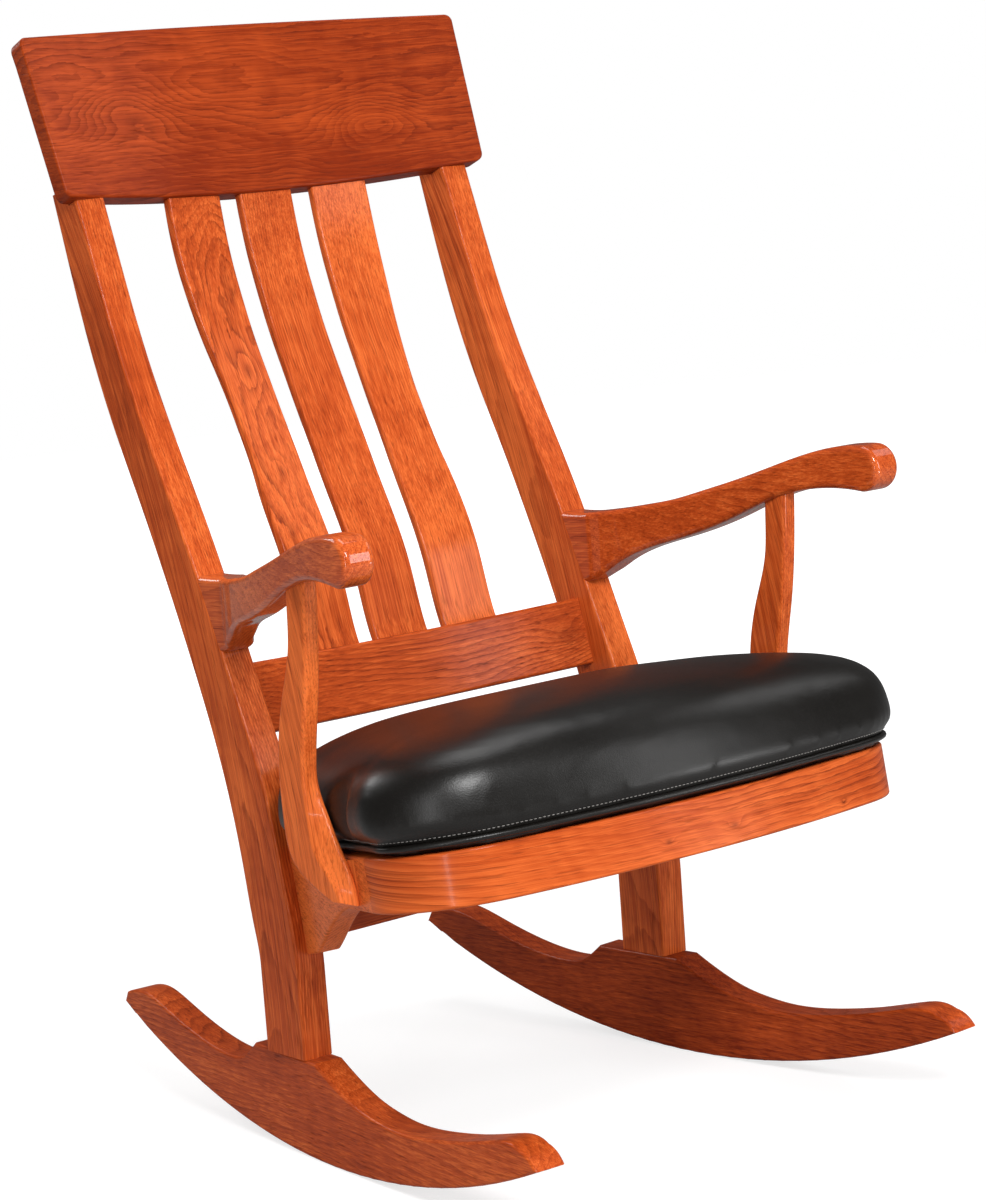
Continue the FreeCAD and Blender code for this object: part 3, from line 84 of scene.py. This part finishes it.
class Shade:
    """One socket of a finish. Sums on it add Math nodes, and node() adds any other node."""

    def __init__(self, tree, socket):
        self.tree = tree
        self.socket = socket

    def node(self, kind, settings=None, inputs=None, output=0):
        """Adds a node: its settings first, then the values or links of its sockets."""
        made = self.tree.nodes.new(kind)
        for name, value in (settings or {}).items():
            if name == "stops":
                for _ in value[2:]:
                    made.color_ramp.elements.new(1.0)
                for element, (place, colour) in zip(made.color_ramp.elements, value):
                    element.position = place
                    element.color = (*colour, 1)
            else:
                setattr(made, name, value)
        for name, value in (inputs or {}).items():
            if isinstance(value, Shade):
                self.tree.links.new(value.socket, made.inputs[name])
            else:
                made.inputs[name].default_value = value
        return Shade(self.tree, made.outputs[output])

    def sum(self, operation, *values):
        """A Math node on these values."""
        return self.node("ShaderNodeMath", {"operation": operation}, dict(enumerate(values)))

    def __add__(self, other):
        return self.sum("ADD", self, other)

    __radd__ = __add__

    def __sub__(self, other):
        return self.sum("SUBTRACT", self, other)

    def __rsub__(self, other):
        return self.sum("SUBTRACT", other, self)

    def __mul__(self, other):
        return self.sum("MULTIPLY", self, other)

    __rmul__ = __mul__

    def rise(self, low, high):
        """0 below low, 1 above high, and smooth between them."""
        settings = {"interpolation_type": "SMOOTHSTEP"}
        return self.node("ShaderNodeMapRange", settings, {"Value": self, "From Min": low, "From Max": high})

    def between(self, first, second):
        """The colour this far from the first to the second."""
        return self.node("ShaderNodeMix", {"data_type": "RGBA"}, {0: self, 6: first, 7: second}, 2)

    def parts(self):
        """The three numbers of a point."""
        split = self.node("ShaderNodeSeparateXYZ", None, {0: self})
        return [Shade(self.tree, split.socket.node.outputs[place]) for place in range(3)]

    def point(self, *parts):
        """A point from three numbers."""
        return self.node("ShaderNodeCombineXYZ", None, dict(enumerate(parts)))

    def cloud(self, x, y, z, detail=2.0, rough=0.5):
        """Soft noise from 0 to 1, read at a point."""
        place = {"Vector": self.point(x, y, z), "Scale": 1.0, "Detail": detail, "Roughness": rough}
        return self.node("ShaderNodeTexNoise", None, place)

    def bumped(self, height, depth):
        """A normal that follows a height, where 1 is this many metres."""
        return self.node("ShaderNodeBump", None, {"Height": height, "Distance": depth, "Strength": 1.0})


def finish_of(name, **constants):
    """A new finish: its material, its shader's sockets, and the point on the object as a Shade."""
    material = bpy.data.materials.new(name)
    material.use_nodes = True
    tree = material.node_tree
    shader = tree.nodes["Principled BSDF"]
    for socket, value in constants.items():
        shader.inputs[socket.replace("_", " ")].default_value = value
    here = Shade(tree, tree.nodes.new("ShaderNodeTexCoord").outputs["Object"])
    return material, shader, here


def feed(shader, **shades):
    """Links shades to a shader's sockets of those names."""
    for socket, shade in shades.items():
        shade.tree.links.new(shade.socket, shader.inputs[socket.replace("_", " ")])


# Cherry, stained red-brown under satin lacquer: its darkest, middle and lightest colour, and the dark
# lines of its rings. The posts and slats sweep back by BACK_SWEEP times the square of their height over
# SWEEP_START, and their figure goes with them.

HEART = (0.200, 0.0200, 0.0030)
BODY = (0.455, 0.0660, 0.0105)
GLOW = (0.780, 0.1650, 0.0340)
RING_LINE = (0.070, 0.0070, 0.0016)
DARKEST_LINE = 0.90
LACQUER_RELIEF = 0.00010
WANDER = 0.075
RIPPLE = 0.0095
ALONG_ACROSS_DEEP = {"x": (0, 2, 1), "y": (1, 0, 2), "z": (2, 0, 1)}
BACK_SWEEP = 0.33
SWEEP_START = 0.10


def cherry(
    piece, grain, seed, depth=0.0, pith=(0.3, 0.12), spacing=0.0032, taper=0.01, wild=0.35, lines=0.3,
    gloss=0.16, coat=0.16, follows=1.0, fine=1.0, knots=(),
):
    """The cherry of one piece, darker with more depth. The depth is partly the board's own tone and partly
    painted light and shade: pieces that lie in shade are made darker, and pieces that should look more
    brightly lit are made lighter. Its grain runs along x, y or z, round a pith that lay at that place across
    the board and behind it. The rings have this spacing, close in along the board by the taper, wander as
    much as it is wild, and show as dark as their lines. The fibres show as much as they are fine. On a bent
    piece the figure follows the face, and the way behind it counts for less. A knot is a place along and
    across the board, a size, how far it turns the rings and how dark it is. The gloss is the roughness of the
    lacquer, and the coat is how thick it lies."""
    material, shader, here = finish_of(f"cherry_{piece}", Coat_Roughness=gloss, Specular_IOR_Level=0.06)
    low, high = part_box(piece)
    middle = (low + high) / 2
    turn = (LEAN, 0, 0) if grain == "z" else (0, 0, 0)
    centred = here.node("ShaderNodeMapping", {"vector_type": "TEXTURE"}, {
        "Vector": here, "Location": middle, "Rotation": turn,
    })
    places = centred.parts()
    along, across, deep = [places[which] for which in ALONG_ACROSS_DEEP[grain]]
    if grain == "z":
        high_up = along + (middle.z - SWEEP_START)
        deep = deep - BACK_SWEEP * high_up * high_up
    deep = deep * follows
    run = along + seed * 3.7

    wander = here.cloud(run * 2.6, across * 8.0, deep * 8.0 + seed, 2.0) - 0.5
    ripple = here.cloud(run * 15.0, across * 50.0, deep * 50.0 + seed, 4.0, 0.6) - 0.5
    reach = along * taper + wander * (WANDER * wild) + ripple * (RIPPLE * wild)
    knot_shade = None
    for knot_along, knot_across, knot_size, turned, dark in knots:
        off_along = (along - knot_along) * 0.55
        off_across = across - knot_across
        gone = (off_along * off_along + off_across * off_across) * (1 / knot_size ** 2)
        reach = reach + here.sum("EXPONENT", gone * -1.0) * (turned * knot_size)
        pin = here.sum("EXPONENT", gone * -5.0) * dark
        knot_shade = pin if knot_shade is None else knot_shade + pin
    side = across - pith[0]
    back = deep + pith[1]
    reach = reach + here.sum("SQRT", side * side + back * back)
    ring = here.sum("FRACT", reach * (1 / spacing))
    late = ring * ring * ring * ring * (1.0 - ring.rise(0.92, 1.0))
    strong = here.cloud(run * 3.5, across * 22.0, deep * 22.0 + seed + 9.0, 2.0).rise(0.40, 0.68)
    line = late * (0.15 + 0.85 * strong)

    fibre = here.cloud(run * 10.0, across * 780.0, deep * 780.0, 3.0, 0.65)
    streak = here.cloud(run * 3.5, across * 210.0, deep * 210.0 + seed, 4.0, 0.6)
    patch = here.cloud(run * 3.6, across * 14.0, deep * 14.0 + seed + 4.0, 3.0, 0.55)
    curl = here.cloud(run * 55.0 + wander * 9.0, across * 11.0, deep * 11.0 + seed + 6.0, 1.0)
    pore = here.cloud(run * 34.0, across * 620.0, deep * 620.0 + seed, 1.0).rise(0.57, 0.72)
    gum = here.cloud(run * 30.0, across * 330.0, deep * 330.0 + seed + 2.0, 1.0).rise(0.73, 0.80)

    # The piece's depth moves its whole colour along the ramp here: painted shade where it is darker, painted
    # light where it is lighter, over the grain's own tone.
    tone_and_painted_shade = (
        0.60 - depth + (patch - 0.5) * 0.85 + (streak - 0.5) * (0.78 * fine) + (curl - 0.5) * 0.20
        + (fibre - 0.5) * (1.05 * fine) - (ring - 0.5) * 0.12
    )
    stain_and_painted_shade = tone_and_painted_shade.node("ShaderNodeValToRGB", {
        "stops": ((0.0, HEART), (0.5, BODY), (1.0, GLOW)),
    }, {"Fac": tone_and_painted_shade})
    shut = line * (1.5 * lines) + pore * 0.34 + gum * 0.45
    if knot_shade is not None:
        shut = shut + knot_shade
    colour = shut.sum("MINIMUM", shut, DARKEST_LINE).between(stain_and_painted_shade, (*RING_LINE, 1))
    rough = 0.40 + (fibre - 0.5) * 0.16 + line * 0.10 + pore * 0.10
    lacquer = coat - pore * (coat * 0.5) - line * (coat * 0.2)
    height = (fibre - 0.5) * 0.30 - pore * 0.8 - line * 0.3 + (curl - 0.5) * 0.5
    feed(
        shader, Base_Color=colour, Roughness=rough, Coat_Weight=lacquer,
        Normal=here.bumped(height, LACQUER_RELIEF),
    )
    return material


# Each board's depth is partly its own tone and partly painted light and shade. Some pieces are painted darker
# as if in shade, such as the far rocker and the far arm. Others are painted lighter as if more brightly lit,
# such as the near arm support, the side rails and the slats towards the chair's left.
BOARDS = {
    "crest_rail": dict(
        grain="x", seed=1.3, depth=0.48, pith=(0.030, 0.060), spacing=0.0052, taper=0.006, wild=1.2,
        lines=0.42, follows=0.15, coat=0.06, fine=0.60, knots=(
            (-0.160, 0.004, 0.034, 1.0, 0.0), (0.150, -0.024, 0.028, 1.0, 0.0),
            (0.165, -0.026, 0.004, 1.0, 0.5), (0.040, -0.060, 0.016, 0.7, 0.0),
        ),
    ),
    "back_slat_right": dict(
        grain="z", seed=2.1, depth=0.02, pith=(0.010, 0.020), spacing=0.0058, taper=0.030, wild=1.3,
        lines=0.55, knots=((-0.055, 0.006, 0.010, 1.0, 0.25), (0.050, 0.012, 0.016, 1.0, 0.0)),
    ),
    "back_slat_middle": dict(grain="z", seed=3.4, lines=0.30, depth=-0.02),
    "back_slat_left": dict(grain="z", seed=4.2, lines=0.22, depth=-0.12),
    "lower_back_rail": dict(
        grain="x", seed=5.5, depth=0.12, pith=(-0.060, 0.080), spacing=0.0050, taper=0.030, wild=0.8,
        lines=0.50, fine=0.75, knots=((0.196, 0.004, 0.018, 0.8, 0.3),),
    ),
    "rear_seat_rail": dict(grain="x", seed=6.1, depth=0.10),
    "front_apron": dict(
        grain="x", seed=7.7, depth=-0.06, pith=(-0.060, 0.090), spacing=0.0056, taper=0.030, wild=0.8,
        lines=0.55, follows=0.0, fine=0.65, knots=(
            (-0.060, 0.0, 0.005, 1.2, 0.55), (0.020, 0.0, 0.006, 1.2, 0.45), (0.175, -0.010, 0.004, 1.2, 0.6),
        ),
    ),
    "side_rail_right": dict(grain="y", seed=8.2, depth=-0.26, pith=(0.06, 0.05), spacing=0.0050, wild=0.7),
    "side_rail_left": dict(grain="y", seed=8.9, depth=-0.26, pith=(-0.06, 0.05), spacing=0.0050, wild=0.7),
    "arm_support_right": dict(grain="z", seed=9.3, depth=-0.26, gloss=0.12),
    "arm_support_left": dict(grain="z", seed=9.9, depth=-0.02, gloss=0.12),
    "arm_right": dict(
        grain="y", seed=10.4, depth=-0.02, pith=(0.10, 0.06), spacing=0.0060, taper=0.04, wild=0.8,
        gloss=0.05, coat=0.75,
    ),
    "arm_left": dict(
        grain="y", seed=11.2, depth=0.12, pith=(-0.09, 0.06), spacing=0.0060, taper=0.04, wild=0.8,
        gloss=0.05, coat=0.75,
    ),
    "rocker_right": dict(
        grain="y", seed=12.3, depth=0.12, pith=(0.05, 0.16), spacing=0.0062, taper=0.02, wild=0.8,
    ),
    "rocker_left": dict(
        grain="y", seed=13.1, depth=0.32, pith=(-0.05, 0.16), spacing=0.0062, taper=0.02, wild=0.8,
    ),
    "back_post_right": dict(grain="z", seed=14.6, depth=-0.02, lines=0.34),
    "back_post_left": dict(grain="z", seed=15.2, depth=-0.08, lines=0.26),
    "front_corner_block_right": dict(grain="x", seed=16.1, depth=0.05),
    "front_corner_block_left": dict(grain="x", seed=16.8, depth=0.05),
    "rear_corner_block_right": dict(grain="x", seed=17.3, depth=0.05),
    "rear_corner_block_left": dict(grain="x", seed=17.9, depth=0.05),
    "crest_dowels": dict(grain="y", seed=18.2),
    "apron_dowels": dict(grain="y", seed=18.8),
    "arm_dowels": dict(grain="z", seed=19.3),
    "arm_plugs": dict(grain="y", seed=20.1, depth=0.24, spacing=0.0016, pith=(0.001, 0.002)),
    "rocker_plugs": dict(grain="z", seed=20.7, depth=0.24, spacing=0.0016, pith=(0.001, 0.002)),
}


# Black upholstery leather, thread, plywood, black under-cloth and zinc

def leather():
    """Smooth black leather: a fine pebble, and soft creases where it is drawn down to the seam."""
    material, shader, here = finish_of("cushion_leather", Specular_IOR_Level=0.38)
    x, y, z = here.parts()
    pebble = here.node("ShaderNodeTexVoronoi", {"feature": "SMOOTH_F1"}, {
        "Vector": here, "Scale": 820.0, "Smoothness": 0.6,
    })
    pore = here.cloud(x * 1500.0, y * 1500.0, z * 1500.0, 1.0)
    worn = here.cloud(x * 9.0, y * 9.0, z * 9.0, 2.0)
    fold = here.cloud(x * 38.0, y * 30.0, z * 14.0, 3.0, 0.6)
    shade = (worn - 0.5) * 0.8 + (pebble - 0.4) * 0.5 + 0.4
    colour = shade.between((0.0024, 0.0018, 0.0012, 1), (0.0075, 0.0062, 0.0050, 1))
    rough = 0.35 + (worn - 0.5) * 0.10 + (pebble - 0.4) * 0.10
    height = pebble * 0.30 + pore * 0.12 + (fold - 0.5) * 0.8
    feed(shader, Base_Color=colour, Roughness=rough, Normal=here.bumped(height, 0.00022))
    return material


def thread():
    """Pale waxed thread of twisted strands."""
    material, shader, here = finish_of("waxed_thread", Specular_IOR_Level=0.4)
    x, y, z = here.parts()
    twist = here.node("ShaderNodeTexWave", {"bands_direction": "DIAGONAL"}, {"Vector": here, "Scale": 620.0})
    colour = twist.between((0.16, 0.15, 0.14, 1), (0.36, 0.34, 0.32, 1))
    dust = here.cloud(x * 900.0, y * 900.0, z * 900.0)
    feed(shader, Base_Color=colour, Roughness=0.45 + dust * 0.2, Normal=here.bumped(twist, 0.00005))
    return material


def plywood():
    """Plain plywood: long streaks on its faces, and its layers on the edge."""
    material, shader, here = finish_of("plywood_board")
    leaf = here.node("ShaderNodeMapping", {"vector_type": "TEXTURE"}, {
        "Vector": here, "Location": SEAT.to_translation(), "Rotation": (LEAN - SEAT_SLOPE, 0, 0),
    })
    x, y, z = leaf.parts()
    layer = here.sum("PINGPONG", z * 1000.0, 1.6).rise(0.5, 1.1)
    streak = here.cloud(x * 5.0, y * 110.0, z * 60.0, 3.0)
    fibre = here.cloud(x * 30.0, y * 900.0, z * 900.0, 2.0)
    tone = streak * 0.6 + fibre * 0.25 + layer * 0.25
    colour = tone.between((0.34, 0.20, 0.10, 1), (0.72, 0.52, 0.32, 1))
    feed(shader, Base_Color=colour, Roughness=0.62 + fibre * 0.2, Normal=here.bumped(fibre, 0.0001))
    return material


def under_cloth():
    """Thin black cloth of pressed fibres, spot-bonded in a small diamond."""
    material, shader, here = finish_of("under_cloth", Specular_IOR_Level=0.2)
    x, y, z = here.parts()
    lift = here.sum("PINGPONG", x + y, 0.0009) + here.sum("PINGPONG", x - y, 0.0009)
    bond = (lift * 900.0).rise(0.3, 0.9)
    hair = here.cloud(x * 420.0, y * 420.0, z * 420.0, 3.0, 0.7)
    colour = (hair * 0.8 + bond * 0.2).between((0.006, 0.006, 0.006, 1), (0.040, 0.040, 0.041, 1))
    feed(shader, Base_Color=colour, Roughness=0.78 + hair * 0.2, Normal=here.bumped(hair + bond, 0.00012))
    return material


def zinc():
    """Bright zinc plate on the screws and bolts."""
    material, shader, here = finish_of("zinc_plate", Metallic=1.0)
    x, y, z = here.parts()
    bloom = here.cloud(x * 160.0, y * 160.0, z * 160.0, 2.0)
    scratch = here.cloud(x * 1800.0, y * 240.0, z * 240.0, 2.0)
    colour = bloom.between((0.42, 0.42, 0.44, 1), (0.66, 0.66, 0.68, 1))
    feed(
        shader, Base_Color=colour, Roughness=0.28 + scratch * 0.22 + bloom * 0.08,
        Normal=here.bumped(scratch, 0.00002),
    )
    return material


def dress(node, material):
    """Gives a CAD node its finish."""
    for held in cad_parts[node].material_slots:
        held.material = material


for board, wood in BOARDS.items():
    dress(board, cherry(board, **wood))
steel = zinc()
for fastener in ("support_bolts", "arm_bolts", "rocker_screws", "seat_screws"):
    dress(fastener, steel)
dress("seat_board", plywood())
cloth_finish = under_cloth()
hide = leather()


# Pieces made here

def merged(node):
    """A copy of a CAD node's shape, with the corners of its triangles joined."""
    shape = bmesh.new()
    shape.from_mesh(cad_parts[node].data)
    bmesh.ops.remove_doubles(shape, verts=shape.verts, dist=0.00002)
    return shape


def keep_island(shape, start):
    """Leaves only the part of a shape that hangs together with one of its points."""
    found = {start}
    edge_of_found = [start]
    while edge_of_found:
        spot = edge_of_found.pop()
        for edge in spot.link_edges:
            other = edge.other_vert(spot)
            if other not in found:
                found.add(other)
                edge_of_found.append(other)
    bmesh.ops.delete(shape, geom=[spot for spot in shape.verts if spot not in found], context="VERTS")


def piece(name, shape, material, slot, *nodes):
    """A finished piece of the chair from a shape in the chair's own frame."""
    mesh = bpy.data.meshes.new(name)
    shape.to_mesh(mesh)
    shape.free()
    mesh.shade_smooth()
    mesh.materials.append(material)
    made = bpy.data.objects.new(name, mesh)
    bpy.context.scene.collection.objects.link(made)
    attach(made, "root")
    if nodes:
        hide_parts(*nodes)
    return made


def settled(made):
    """Bakes a piece's modifiers into its mesh."""
    graph = bpy.context.evaluated_depsgraph_get()
    mesh = bpy.data.meshes.new_from_object(made.evaluated_get(graph))
    made.modifiers.clear()
    old = made.data
    made.data = mesh
    bpy.data.meshes.remove(old)


# Cushion: leather over foam, blown up a little and held down at its foot. Heights are over the seat board,
# in the seat's own frame.

CUSHION_TAKE_IN = 0.001
CUSHION_FOOT = 0.014
CUSHION_VOXEL = 0.006
FOOT_SPREAD = 0.006
SIDE_SPREAD = 0.007
SIDE_DROP = 0.004
SUPPORTS_AT = -0.155
BLOW_STEPS = 20
BLOW_PRESSURE = 4.0
MOST_SWELL = 0.024
SWELL_SHARE = 0.06
PUCKER_SHARE = 0.08
SWELL_BLUR = 30


def ramp(value, low, high):
    """0 below low, 1 above high, and straight between them."""
    return min(1.0, max(0.0, (value - low) / (high - low)))


def cushion_blank():
    """The cushion's outside before it is blown up: a little wider than the cover at its foot and at its
    sides, but not where the arm supports dent it."""
    seat_in = SEAT.inverted()
    shape = merged("seat_cover")
    keep_island(shape, max(shape.verts, key=lambda spot: spot.co.z))
    shape.normal_update()
    for spot in shape.verts:
        here = seat_in @ spot.co
        spot.co -= spot.normal * CUSHION_TAKE_IN * ramp(here.z, 0.004, 0.034)
        clear = ramp(abs(here.y - SUPPORTS_AT), 0.07, 0.10)
        low = 1 - ramp(here.z, 0.014, 0.036)
        wide = Vector((spot.normal.x, spot.normal.y, 0))
        if here.z > 0.001 or wide.length > 0.5:
            spot.co += wide * (FOOT_SPREAD * clear * low)
        side = ramp(abs(here.x), 0.14, 0.23)
        side = side * side * (3 - 2 * side)
        spot.co.x += math.copysign(SIDE_SPREAD * side * clear, here.x)
        spot.co.z -= SIDE_DROP * side * ramp(here.z, 0.07, 0.10)
    made = piece("cushion", shape, hide, "black_leather", "seat_cover", "seat_foam")
    remesh = made.modifiers.new("remesh", "REMESH")
    remesh.mode = "VOXEL"
    remesh.voxel_size = CUSHION_VOXEL
    remesh.adaptivity = 0.0
    settled(made)
    held = made.vertex_groups.new(name="held")
    for spot in made.data.vertices:
        if (seat_in @ spot.co).z < CUSHION_FOOT:
            held.add([spot.index], 1.0, "REPLACE")
    return made


def blow_up(made):
    """Blows the leather up with its foot held, and keeps a share of its broad swell and of its puckers."""
    before = [spot.co.copy() for spot in made.data.vertices]
    cloth = made.modifiers.new("cloth", "CLOTH")
    for name, value in {
        "quality": 6, "mass": 0.35, "tension_stiffness": 22, "compression_stiffness": 22,
        "shear_stiffness": 12, "bending_stiffness": 1.2, "use_pressure": True,
        "uniform_pressure_force": BLOW_PRESSURE, "vertex_group_mass": "held",
    }.items():
        setattr(cloth.settings, name, value)
    cloth.settings.effector_weights.gravity = 0
    cloth.collision_settings.use_collision = False
    scene = bpy.context.scene
    for step in range(1, BLOW_STEPS + 1):
        scene.frame_set(step)
    graph = bpy.context.evaluated_depsgraph_get()
    blown = made.evaluated_get(graph).data
    moves = [spot.co - old for spot, old in zip(blown.vertices, before)]
    made.modifiers.clear()
    scene.frame_set(1)
    for move in moves:
        if move.length > MOST_SWELL:
            move *= MOST_SWELL / move.length
    beside = [[] for _ in moves]
    for edge in made.data.edges:
        first, second = edge.vertices
        beside[first].append(second)
        beside[second].append(first)
    broad = moves
    for _ in range(SWELL_BLUR):
        broad = [
            (broad[place] + sum((broad[other] for other in near), Vector()) / len(near)) / 2
            for place, near in enumerate(beside)
        ]
    for spot, old, move, swell in zip(made.data.vertices, before, moves, broad):
        spot.co = old + swell * SWELL_SHARE + (move - swell) * PUCKER_SHARE


def cushion():
    made = cushion_blank()
    blow_up(made)
    soft = bmesh.new()
    soft.from_mesh(made.data)
    for _ in range(3):
        bmesh.ops.smooth_vert(
            soft, verts=soft.verts, factor=0.5, use_axis_x=True, use_axis_y=True, use_axis_z=True,
        )
    soft.to_mesh(made.data)
    soft.free()
    finer = made.modifiers.new("finer", "SUBSURF")
    finer.levels = 1
    finer.render_levels = 1
    settled(made)
    made.data.shade_smooth()
    return made


seat_cushion = cushion()


# Piping and stitches, round the cushion's foot

PIPING_RADIUS = 0.0031
PIPING_HEIGHT = 0.0080
STITCH_HEIGHT = 0.0150
STITCH_STEP = 0.0046
STITCH_SIZE = (0.0016, 0.00042, 0.00034)


def foot_line(height, step):
    """Points round the cushion at a height over the seat board, evenly spaced, with the ways out of it."""
    shape = bmesh.new()
    shape.from_mesh(seat_cushion.data)
    place = SEAT @ Vector((0, 0, height))
    cut = bmesh.ops.bisect_plane(
        shape, geom=shape.verts[:] + shape.edges[:] + shape.faces[:], dist=0.00001,
        plane_co=place, plane_no=SEAT_UP, clear_outer=True, clear_inner=True,
    )
    rim = [item for item in cut["geom_cut"] if isinstance(item, bmesh.types.BMVert)]
    spot = min(rim, key=lambda item: item.co.y)
    line = [spot.co.copy()]
    came = None
    while True:
        ahead = [edge.other_vert(spot) for edge in spot.link_edges if edge.other_vert(spot) is not came]
        came = spot
        spot = ahead[0]
        if (spot.co - line[0]).length < 0.00002:
            break
        line.append(spot.co.copy())
    shape.free()
    line.append(line[0].copy())
    lengths = [(after - before).length for before, after in zip(line, line[1:])]
    count = round(sum(lengths) / step)
    spaced = []
    which = 0
    gone = 0.0
    for number in range(count):
        target = number * sum(lengths) / count
        while gone + lengths[which] < target:
            gone += lengths[which]
            which += 1
        spaced.append(line[which].lerp(line[which + 1], (target - gone) / lengths[which]))
    for _ in range(6):
        spaced = [
            (spaced[place - 1] + spaced[place] * 2 + spaced[(place + 1) % count]) / 4
            for place in range(count)
        ]
    centre = sum(spaced, Vector()) / count
    ways = [
        (spaced[(place + 1) % count] - spaced[place - 1]).normalized().cross(SEAT_UP).normalized()
        for place in range(count)
    ]
    side = 1 if ways[0].dot(spaced[0] - centre) > 0 else -1
    return spaced, [way * side for way in ways]


def piping():
    """A leather tube on the edge of the board, against the cushion's foot."""
    line, outward = foot_line(PIPING_HEIGHT, 0.004)
    curve = bpy.data.curves.new("piping_line", "CURVE")
    curve.dimensions = "3D"
    curve.bevel_depth = PIPING_RADIUS
    curve.bevel_resolution = 3
    spline = curve.splines.new("POLY")
    spline.points.add(len(line) - 1)
    for point, spot, out in zip(spline.points, line, outward):
        point.co = (*(spot + out * (PIPING_RADIUS * 0.85)), 1)
    spline.use_cyclic_u = True
    drawn = bpy.data.objects.new("piping_line", curve)
    bpy.context.scene.collection.objects.link(drawn)
    graph = bpy.context.evaluated_depsgraph_get()
    mesh = bpy.data.meshes.new_from_object(drawn.evaluated_get(graph))
    bpy.data.objects.remove(drawn)
    shape = bmesh.new()
    shape.from_mesh(mesh)
    bmesh.ops.remove_doubles(shape, verts=shape.verts, dist=0.00001)
    bmesh.ops.recalc_face_normals(shape, faces=shape.faces)
    return piece("piping", shape, hide, "black_leather", "seat_welt")


piping()


def stitches():
    """A row of short stitches in the leather, just over the piping."""
    line, _ = foot_line(STITCH_HEIGHT, STITCH_STEP)
    graph = bpy.context.evaluated_depsgraph_get()
    surface = BVHTree.FromObject(seat_cushion, graph)
    shape = bmesh.new()
    count = len(line)
    for place in range(count):
        near, normal, _, _ = surface.find_nearest(line[place])
        ahead = (line[(place + 1) % count] - line[place - 1]).normalized()
        ahead = (ahead - normal * ahead.dot(normal)).normalized()
        turn = Matrix((ahead, normal.cross(ahead), normal)).transposed().to_4x4()
        new = bmesh.ops.create_uvsphere(shape, u_segments=6, v_segments=4, radius=1.0)
        size = Matrix.Diagonal((*STITCH_SIZE, 1))
        upright = Matrix.Rotation(math.pi / 2, 4, "Y")
        bmesh.ops.transform(
            shape, verts=new["verts"],
            matrix=Matrix.Translation(near + normal * 0.00012) @ turn @ size @ upright,
        )
    bmesh.ops.recalc_face_normals(shape, faces=shape.faces)
    return piece("stitches", shape, thread(), "black_leather")


stitches()


# Under-cloth, stretched below the seat board

stretched_cloth = piece("under_cloth", merged("dust_cover"), cloth_finish, "dust_cloth", "dust_cover")


# Studio: a pale floor, a white world and soft lamps

def showing(tree, glossy):
    """1 for the camera and through glass, this much in a gloss, and 0 for other light."""
    rays = tree.nodes.new("ShaderNodeLightPath")
    seen = Shade(tree, rays.outputs["Is Camera Ray"])
    seen = seen.sum("MAXIMUM", seen, Shade(tree, rays.outputs["Is Transmission Ray"]))
    return rays, seen.sum("MAXIMUM", seen, Shade(tree, rays.outputs["Is Glossy Ray"]) * glossy)


def floor():
    """A pale round floor that turns white away from the chair."""
    shape = bmesh.new()
    bmesh.ops.create_circle(shape, cap_ends=True, segments=96, radius=14.0)
    mesh = bpy.data.meshes.new("floor")
    shape.to_mesh(mesh)
    shape.free()
    material, shader, here = finish_of("pale_floor", Roughness=0.9, Specular_IOR_Level=0.1)
    x, y, z = here.parts()
    speck = here.cloud(x * 3.0, y * 3.0, z, 2.0)
    feed(shader, Base_Color=speck.between((0.36, 0.36, 0.36, 1), (0.39, 0.39, 0.39, 1)))
    away = here.sum("SQRT", x * x + y * y).rise(1.0, 3.4)
    _, seen = showing(here.tree, 0.05)
    glow = here.node("ShaderNodeEmission", None, {
        "Color": (1, 1, 1, 1), "Strength": seen * (away * 0.45 + 0.72),
    })
    both = here.node("ShaderNodeAddShader", None, {0: Shade(here.tree, shader.outputs[0]), 1: glow})
    here.tree.links.new(both.socket, here.tree.nodes["Material Output"].inputs["Surface"])
    mesh.materials.append(material)
    made = bpy.data.objects.new("floor", mesh)
    bpy.context.scene.collection.objects.link(made)


floor()

world = bpy.data.worlds.new("studio")
bpy.context.scene.world = world
world.use_nodes = True
sky = world.node_tree
sky_rays, sky_seen = showing(sky, 0.10)
strength = sky_seen.sum("MAXIMUM", sky_seen, Shade(sky, sky_rays.outputs["Is Diffuse Ray"]) * 0.36)
backdrop = sky.nodes["Background"]
backdrop.inputs["Color"].default_value = (1, 1, 1, 1)
sky.links.new(strength.socket, backdrop.inputs["Strength"])


def lamp(name, place, aim, width, height, watts):
    """A flat lamp at a place, turned to the point that it aims at."""
    light = bpy.data.lights.new(name, "AREA")
    light.shape = "RECTANGLE"
    light.size = width
    light.size_y = height
    light.energy = watts
    made = bpy.data.objects.new(name, light)
    made.location = place
    made.rotation_mode = "QUATERNION"
    made.rotation_quaternion = (Vector(aim) - Vector(place)).to_track_quat("-Z", "Y")
    bpy.context.scene.collection.objects.link(made)


lamp("left_softbox", (-0.95, -2.35, 2.1), (0, 0, 0.60), 0.95, 0.75, 72)
lamp("side_strip", (-2.6, -1.7, 0.9), (0, 0, 0.60), 0.12, 1.8, 20)
lamp("right_box", (1.20, -2.45, 1.10), (-0.20, 0, 0.60), 0.4, 1.5, 15)
lamp("low_card", (1.02, -1.62, 0.11), (0.03, -0.385, 0.335), 0.42, 0.16, 5)
lamp("right_softbox", (2.6, -1.0, 2.6), (0, 0, 0.50), 1.4, 1.2, 12)
lamp("top_softbox", (0.4, 0.2, 3.2), (0, 0, 0.40), 1.6, 1.2, 26)
lamp("back_softbox", (-1.2, 2.4, 2.2), (0, 0, 0.60), 1.2, 1.0, 24)

bpy.context.scene.view_settings.view_transform = "Standard"
